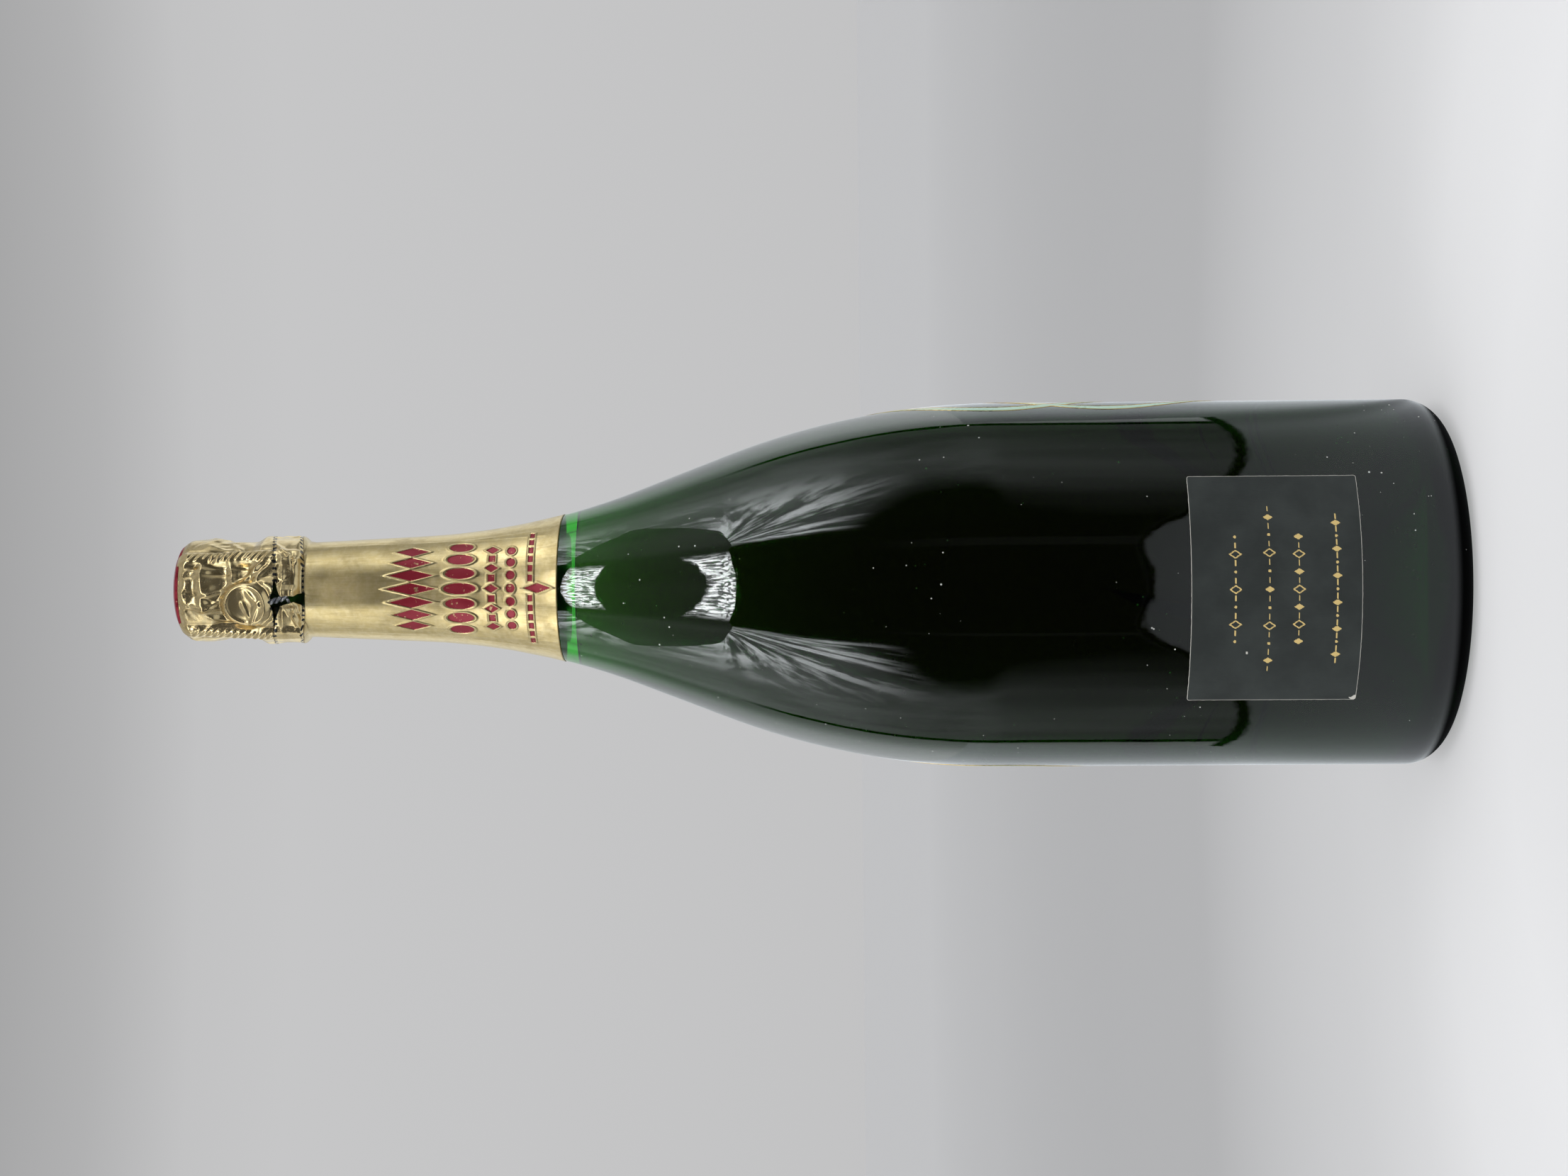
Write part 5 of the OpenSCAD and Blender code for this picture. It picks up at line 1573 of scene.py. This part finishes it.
class MAGNUM_OT_enamel(Operator):
    """Makes the fired enamel on the glass's front: slim reed blades with gold edges"""

    bl_idname = "magnum.enamel"
    bl_label = "Enamel blades"

    def execute(self, context):
        """Each blade and each of its two edge lines is a lens section carried along a bowed line on the
        glass.
        """
        b, colours = Bottle(context.scene), context.scene.magnum_colours
        m = MM
        blades = [
            (172, 34, 96, 178, -34, 2.1), (186, 34, 268, 168, 30, 2.1), (176, 30, 150, 205, -16, 2.4),
            (184, 30, 214, 196, 14, 2.4),
            (180, 28, 181, 96, 5, 2.8), (168, 40, 92, 132, -14, 1.7), (192, 40, 262, 126, 16, 1.7),
            (160, 60, 128, 176, -24, 1.8),
            (200, 60, 238, 186, 22, 1.8), (120, 76, 96, 180, -36, 3.6), (240, 76, 264, 170, 26, 2.0),
            (98, 58, 90, 138, -22, 3.4),
        ]
        mint = enamel_material("mint_enamel", rgb(colours.mint), (0.55, 0.78, 0.62, 1), 0.0)
        gold = enamel_material("gold_enamel", (0.52, 0.38, 0.15, 1), (0.66, 0.50, 0.22, 1), 0.7)
        for name, material in (("enamel_blades", mint), ("enamel_edges", gold)):
            points, faces, count = [], [], 0
            for start_t, start_z, end_t, end_z, bow, width in blades:
                lean = math.degrees(width * m / 2 / b.body_r)
                lines = [(0.0, 0.0, width, 0.1)]
                if name == "enamel_edges":
                    lines = [(k * lean * 0.2, k * lean, 0.3, 0.12) for k in (-1, 1)]
                for aside, more_bow, wide, thick in lines:
                    ends = (start_t + aside, start_z * m, end_t + aside, end_z * m)
                    top, low = blade(b, *ends, bow + more_bow, wide * m, thick * m)
                    rows, cols = top.shape[:2]
                    faces += skin_faces(rows, cols, rows, False, count)[0]
                    points += [top.reshape(-1, 3), low.reshape(-1, 3)]
                    count += 2 * rows * cols
            dress(make_mesh(name, np.concatenate(points), faces), material, "bottle", "green_glass")
        return {"FINISHED"}


class MAGNUM_OT_stage(Operator):
    """Sets the floor, the roof with its lamp arc, the lamps, the world and the camera"""

    bl_idname = "magnum.stage"
    bl_label = "Stage"

    def execute(self, context):
        """A floor with painted light on it, plain light, and surroundings that only gloss and glass show."""
        scene, stage = context.scene, context.scene.magnum_stage
        self.floor(scene, stage)
        self.roof(scene, stage)
        self.lamps(scene)
        self.world(scene)
        self.camera(scene, stage)
        return {"FINISHED"}

    def put(self, scene, name, data):
        """Makes an object from its data and links it to the scene."""
        made = bpy.data.objects.new(name, data)
        scene.collection.objects.link(made)
        return made

    def greys(self, s, value, stops):
        """A colour ramp of greys over a value."""
        ramp = s.tree.nodes.new("ShaderNodeValToRGB")
        elements = ramp.color_ramp.elements
        for position, grey in stops[2:]:
            elements.new(position)
        for element, (position, grey) in zip(sorted(elements, key=lambda e: e.position), stops):
            element.position = position
            element.color = (grey, grey, grey * 1.01, 1)
        s.tree.links.new(value, ramp.inputs[0])
        return ramp.outputs[0]

    def floor(self, scene, stage):
        """A disc. Gloss sees it end at a rounded edge in front, where the dark room begins."""
        radii, turns = np.array(FLOOR_RINGS), np.arange(0, 360, FLOOR_STEP)
        points = at(radii[:, None], turns[None, :], 0.0).reshape(-1, 3).tolist() + [[0, 0, 0]]
        quads, _, _ = grid(len(radii), len(turns), True)
        j = np.arange(len(turns))
        fan = np.stack([np.full(len(turns), len(points) - 1), j, (j + 1) % len(turns)], 1)
        mesh = bpy.data.meshes.new("floor")
        mesh.from_pydata(points, [], quads.tolist() + fan.tolist())
        floor = self.put(scene, "floor", mesh)
        s = Shader("floor_cloth")
        place = s.place((1, 1, 0))
        middle = s.add("VectorMath", {0: place, 1: (0.0, stage.pool, 0.0)}, operation="ADD")
        far = s.length(middle)
        # Painted light: the floor's grey makes a bright pool near the bottle and a darker band further out
        tone = self.greys(s, s.math("DIVIDE", far, stage.floor_reach), FLOOR_GREYS)
        weave = s.bump(s.noise(place, 900, 2), 0.0001, 0.1)
        cloth = s.add("BsdfPrincipled",
            {"Base Color": tone, "Roughness": 0.9, "Specular IOR Level": 0.2, "Normal": weave})
        # For the camera the floor partly glows with its own grey, which lightens the shadows on it
        path = s.tree.nodes.new("ShaderNodeLightPath")
        lit = s.add("Emission", {"Color": tone, "Strength": 1.0})
        cloth = s.mix(s.times(path.outputs["Is Camera Ray"], CLOTH_GLOW), cloth, lit)
        x, y, _ = [s.add("SeparateXYZ", {0: place}, k) for k in range(3)]
        over_x = s.math("MAXIMUM", s.minus(s.math("ABSOLUTE", x), stage.cloth_w - stage.cloth_corner), 0.0)
        over_y = s.math("MAXIMUM", s.minus(s.times(y, -1.0), stage.cloth_d - stage.cloth_corner), 0.0)
        edge = s.math("SQRT", s.plus(s.times(over_x, over_x), s.times(over_y, over_y)))
        streaks = s.noise(s.place((1, 0.3, 0)), 60, 4, 0.7)
        ragged = s.times(s.minus(streaks, 0.5), CLOTH_RAGGED)
        edge = s.plus(edge, ragged)
        outside = s.span(edge, stage.cloth_corner - CLOTH_SOFT, stage.cloth_corner + CLOTH_SOFT)
        line = s.span(s.apart(edge, stage.cloth_corner), CLOTH_LINE, CLOTH_LINE_END, 1.0, 0.0)
        azimuth = s.azimuth(x, y)
        front = s.math("LESS_THAN", s.apart(azimuth, math.radians(BACKDROP_MIDDLE)), math.radians(FRONT_TURN))
        # Painted reflection: gloss sees the floor as a cool glow, brighter towards the back, and dark round
        # the base as a painted contact shadow
        mirrored = path.outputs["Is Glossy Ray"]
        cool = s.add("Mix", {0: 1.0, 6: tone, 7: (0.92, 0.98, 1.02, 1)}, 2, data_type="RGBA",
            blend_type="MULTIPLY")
        behind = s.apart(azimuth, math.radians(FRONT_TURN))
        boost = s.times(s.span(y, -0.05, 0.4, 0.92, 1.7), s.span(behind, 0.02, 0.3, 0.5, 1.0))
        near = s.length(place)
        boost = s.times(boost, s.span(near, stage.contact_in, stage.contact_out, 0.03, 1.0))
        cloth = s.mix(mirrored, cloth, s.add("Emission", {"Color": cool, "Strength": boost}))
        gloss = s.times(mirrored, front)
        cloth = s.mix(s.times(gloss, outside), cloth, s.add("BsdfTransparent"))
        dark = s.add("BsdfDiffuse", {"Color": (0.01, 0.01, 0.01, 1)})
        cloth = s.mix(s.times(gloss, line), cloth, dark)
        s.add("OutputMaterial", {"Surface": cloth})
        mesh.materials.append(s.material)

    def roof(self, scene, stage):
        """A flat roof that only gloss and glass see.

        An arc of small lamps runs along its front edge, with dark cloth behind.
        """
        w, z = stage.roof_w, stage.roof_z
        mesh = bpy.data.meshes.new("roof")
        mesh.from_pydata([[-w, -w, z], [w, -w, z], [w, w, z], [-w, w, z]], [], [[0, 3, 2, 1]])
        roof = self.put(scene, "roof", mesh)
        roof.visible_camera = roof.visible_diffuse = roof.visible_shadow = roof.visible_volume_scatter = False
        s = Shader("roof_cloth")
        place = s.place()
        x, y = [s.add("SeparateXYZ", {0: place}, k) for k in range(2)]
        far = s.length(s.place((1, 1, 0)))
        turned = s.times(s.math("ABSOLUTE", s.azimuth(x, y)), TO_DEGREES)
        inner = stage.arc_out - stage.arc_w
        lit = s.span(turned, stage.arc_half + ARC_FADE_FROM, stage.arc_half + ARC_FADE_TO, 1.0, 0.0)
        arc_ = s.times(lit, s.span(far, inner - 0.002, inner + 0.002))
        lamps = s.span(s.noise(place, 90, 2, 0.7), 0.45, 0.57, 0.15, 2.0)
        cloth = s.span(s.noise(place, 5, 3), 0.3, 0.7, 0.36, 0.52)
        away = s.math("MAXIMUM", s.span(turned, stage.arc_half, stage.arc_half + ARC_CLOTH),
            s.span(far, 0.05, 0.3, 1.0, 0.0))
        cloth = s.times(cloth, s.span(away, 0.0, 1.0, 0.5, 1.0))
        strength = s.pick(arc_, cloth, s.times(lamps, stage.arc_light))
        shine = s.add("Emission", {"Color": (0.95, 0.98, 1.0, 1), "Strength": strength})
        reach = s.span(turned, stage.arc_half, stage.arc_half + ARC_EDGE, stage.arc_out, stage.roof_w)
        open_ = s.math("GREATER_THAN", far, reach)
        s.add("OutputMaterial", {"Surface": s.mix(open_, shine, s.add("BsdfTransparent"))})
        mesh.materials.append(s.material)

    def lamps(self, scene):
        """One large soft lamp above and a weaker one at the left, both hidden from gloss."""
        for name, place, aim, width, power in LAMPS:
            data = bpy.data.lights.new(name, "AREA")
            data.shape, data.size, data.energy = "SQUARE", width, power
            lamp = self.put(scene, name, data)
            lamp.matrix_world = looking(place, np.array(aim) - np.array(place), (0, 0, 1))
            lamp.visible_glossy = lamp.visible_transmission = False

    def surroundings(self, s, way):
        """Brightness of a direction for gloss and glass: a dark opening in front, cloth at its sides with
        bright folds that fan out from the lamp arc's ends, thin dark seams, and a pale backdrop.
        """
        x, y, z = [s.add("SeparateXYZ", {0: way}, k) for k in range(3)]
        azimuth = s.times(s.azimuth(x, y), TO_DEGREES)
        up = s.times(s.math("ARCSINE", z), TO_DEGREES)
        out = s.math("ABSOLUTE", azimuth)
        wobble = s.times(s.minus(s.noise(way, 5, 4, 0.6), 0.5), 12.0)
        width = s.math("MINIMUM", s.span(up, 6.0, 22.0, OPENING_LEVEL, OPENING_HIGH),
            s.span(up, -7.0, 0.0, OPENING_LOW, OPENING_LEVEL))
        soft = s.span(up, 6.0, 24.0, 17.0, 3.0)
        reach = s.plus(s.minus(out, width), s.times(wobble, s.span(up, 0.0, 30.0, 1.0, 0.25)))
        side = s.math("DIVIDE", reach, soft, clamp=True)
        cloth = s.times(s.span(out, 50.0, 82.0, 0.22, 0.6),
            s.span(s.noise(way, 4, 4, 0.6), 0.3, 0.7, 0.75, 1.25))
        right = s.span(azimuth, 86.0, 112.0, 1.0, 0.42)
        left = s.span(azimuth, -118.0, -86.0, 0.72, 1.0)
        cloth = s.times(s.times(cloth, right), left)
        cloth = s.times(cloth, s.span(up, -6.0, 1.0, 0.62, 1.0))
        cloth = s.times(cloth, s.span(up, 6.0, 26.0, 1.0, 2.1))
        post = s.span(s.apart(azimuth, POST_TURN), 2.0, 3.0, 0.045, 0.0)
        thin = s.span(s.math("ABSOLUTE", s.plus(azimuth, THIN_POST_TURN)), 0.5, 1.2, 0.04, 0.0)
        low = s.span(up, 0.0, 24.0, 1.0, 0.0)
        dark = s.plus(s.times(s.plus(post, thin), low), 0.016)
        level = s.pick(side, dark, cloth)
        across, down = s.minus(out, FAN_TURN), s.minus(up, FAN_HEIGHT)
        fan = s.times(s.math("ARCTAN2", down, across), 8.0)
        radius = s.math("SQRT", s.plus(s.times(across, across), s.times(down, down)))
        half = s.times(s.math("SIGN", azimuth), 7.3)
        fold_place = s.add("CombineXYZ", {0: s.plus(fan, half), 1: s.times(radius, 0.045), 2: half})
        folds_ = s.span(s.noise(fold_place, 1.0, 5, 0.66, 0.3), 0.44, 0.62, 0.04, 1.0)
        lower = s.plus(up, s.times(s.minus(out, 40.0), 0.28))
        lower = s.plus(lower, s.span(azimuth, -1.0, 1.0, 5.0, 0.0))
        lower = s.span(s.plus(lower, s.times(wobble, 0.5)), 17.0, 31.0)
        shine = s.times(s.times(folds_, lower), s.span(radius, 12.0, 58.0, 8.5, 0.0))
        shine = s.times(shine, s.span(s.plus(out, s.times(wobble, 0.25)), 38.5, 42.0))
        level = s.plus(level, shine)
        shift = s.plus(azimuth, s.times(s.minus(s.noise(way, 9, 2), 0.5), 2.0))
        seam = s.apart(s.apart(shift, 2.0), 118.0)
        seam = s.math("MAXIMUM", s.span(seam, 0.9, 1.7), s.span(up, 18.0, 26.0))
        back = s.times(s.span(out, 132.0, 172.0, 1.3, 0.68), s.span(out, 118.0, 136.0, 0.55, 1.0))
        back = s.times(back, s.span(up, 8.0, 26.0, 1.0, 0.8))
        past = s.span(s.apart(azimuth, BACKDROP_MIDDLE), BACKDROP_TURN, BACKDROP_TURN + 3.0)
        level = s.pick(past, level, back)
        return s.times(level, seam), up

    def world(self, scene):
        """Plain pale light for shading, a grey backdrop for the camera painted darker towards its top as
        shade, and the surroundings for gloss and glass.
        """
        world = bpy.data.worlds.new("studio")
        scene.world = world
        s = Shader("studio", world)
        way = s.add("TexCoord")
        level, up = self.surroundings(s, way)
        path = s.tree.nodes.new("ShaderNodeLightPath")
        gloss = s.math("MAXIMUM", path.outputs["Is Glossy Ray"], path.outputs["Is Transmission Ray"])
        plain = s.add("Background", {"Color": (0.95, 0.96, 0.98, 1), "Strength": PLAIN_LIGHT})
        around = s.add("Background", {"Color": (0.93, 0.975, 1.0, 1), "Strength": level})
        # Painted shade: the backdrop's grey darkens towards its top
        tone = self.greys(s, s.math("DIVIDE", s.plus(up, BACKDROP_FOOT), BACKDROP_RISE), BACKDROP_GREYS)
        backdrop = s.add("Background", {"Color": tone, "Strength": 1.0})
        either = s.mix(gloss, plain, around)
        either = s.mix(path.outputs["Is Camera Ray"], either, backdrop)
        s.add("OutputWorld", {"Surface": either})

    def camera(self, scene, stage):
        """The camera lies on its side: the bottle's top points to the left of the picture."""
        data = bpy.data.cameras.new("camera")
        data.sensor_width, data.sensor_fit, data.lens = 36.0, "HORIZONTAL", stage.lens
        data.clip_start, data.clip_end = 0.01, 100
        camera = self.put(scene, "camera", data)
        p, a = math.radians(stage.pitch), math.radians(stage.roll)
        right, up = np.array([0, math.sin(p), -math.cos(p)]), np.array([1.0, 0, 0])
        turned_right = math.cos(a) * right - math.sin(a) * up
        turned_up = math.sin(a) * right + math.cos(a) * up
        columns = (turned_right, turned_up, np.cross(turned_right, turned_up),
            (stage.shift, -stage.distance, stage.height))
        camera.matrix_world = matrix(columns)
        scene.camera = camera
        scene.view_settings.view_transform = "Standard"


def matrix(columns):
    """A placing matrix from its three directions and its place."""
    m = Matrix.Identity(4)
    for k, column in enumerate(columns):
        for i in range(3):
            m[i][k] = float(column[i])
    return m


def looking(place, direction, up):
    """A matrix for a lamp at a place that shines along a direction."""
    back = -unit(np.array(direction, float))
    right = unit(np.cross(np.array(up, float), back))
    return matrix((right, np.cross(back, right), back, place))


class MAGNUM_PT_panel(Panel):
    """Lists the steps and the sizes in the sidebar"""

    bl_label = "Magnum"
    bl_idname = "MAGNUM_PT_panel"
    bl_space_type = "VIEW_3D"
    bl_region_type = "UI"
    bl_category = "Magnum"

    def draw(self, context):
        """A button for each step, then a box for each group of values."""
        for step in STEPS:
            self.layout.operator(step.bl_idname, text=step.bl_label)
        for name, group in GROUPS:
            box = self.layout.box()
            box.label(text=group.__doc__)
            for key in group.__annotations__:
                box.prop(getattr(context.scene, name), key)


STEPS = (
    MAGNUM_OT_glass, MAGNUM_OT_cage, MAGNUM_OT_cork, MAGNUM_OT_hood, MAGNUM_OT_strip,
    MAGNUM_OT_neck_foil, MAGNUM_OT_label, MAGNUM_OT_enamel, MAGNUM_OT_stage,
)
GROUPS = (
    ("magnum_glass", GlassSizes), ("magnum_cage", CageSizes), ("magnum_foil", FoilSizes),
    ("magnum_colours", Colours), ("magnum_stage", Stage),
)


def register():
    """Adds the groups of values to the scene, and the steps and the panel to Blender."""
    for name, group in GROUPS:
        bpy.utils.register_class(group)
        setattr(bpy.types.Scene, name, PointerProperty(type=group))
    for step in STEPS + (MAGNUM_PT_panel,):
        bpy.utils.register_class(step)


def unregister():
    """Takes away what register adds, the last first."""
    for step in (MAGNUM_PT_panel,) + STEPS[::-1]:
        bpy.utils.unregister_class(step)
    for name, group in GROUPS[::-1]:
        delattr(bpy.types.Scene, name)
        bpy.utils.unregister_class(group)


def main():
    """Registers the classes and makes every piece in order."""
    register()
    for step in (
        bpy.ops.magnum.glass, bpy.ops.magnum.cage, bpy.ops.magnum.cork, bpy.ops.magnum.hood,
        bpy.ops.magnum.strip,
        bpy.ops.magnum.neck_foil, bpy.ops.magnum.label, bpy.ops.magnum.enamel, bpy.ops.magnum.stage,
    ):
        step()


if __name__ == "__main__":
    main()
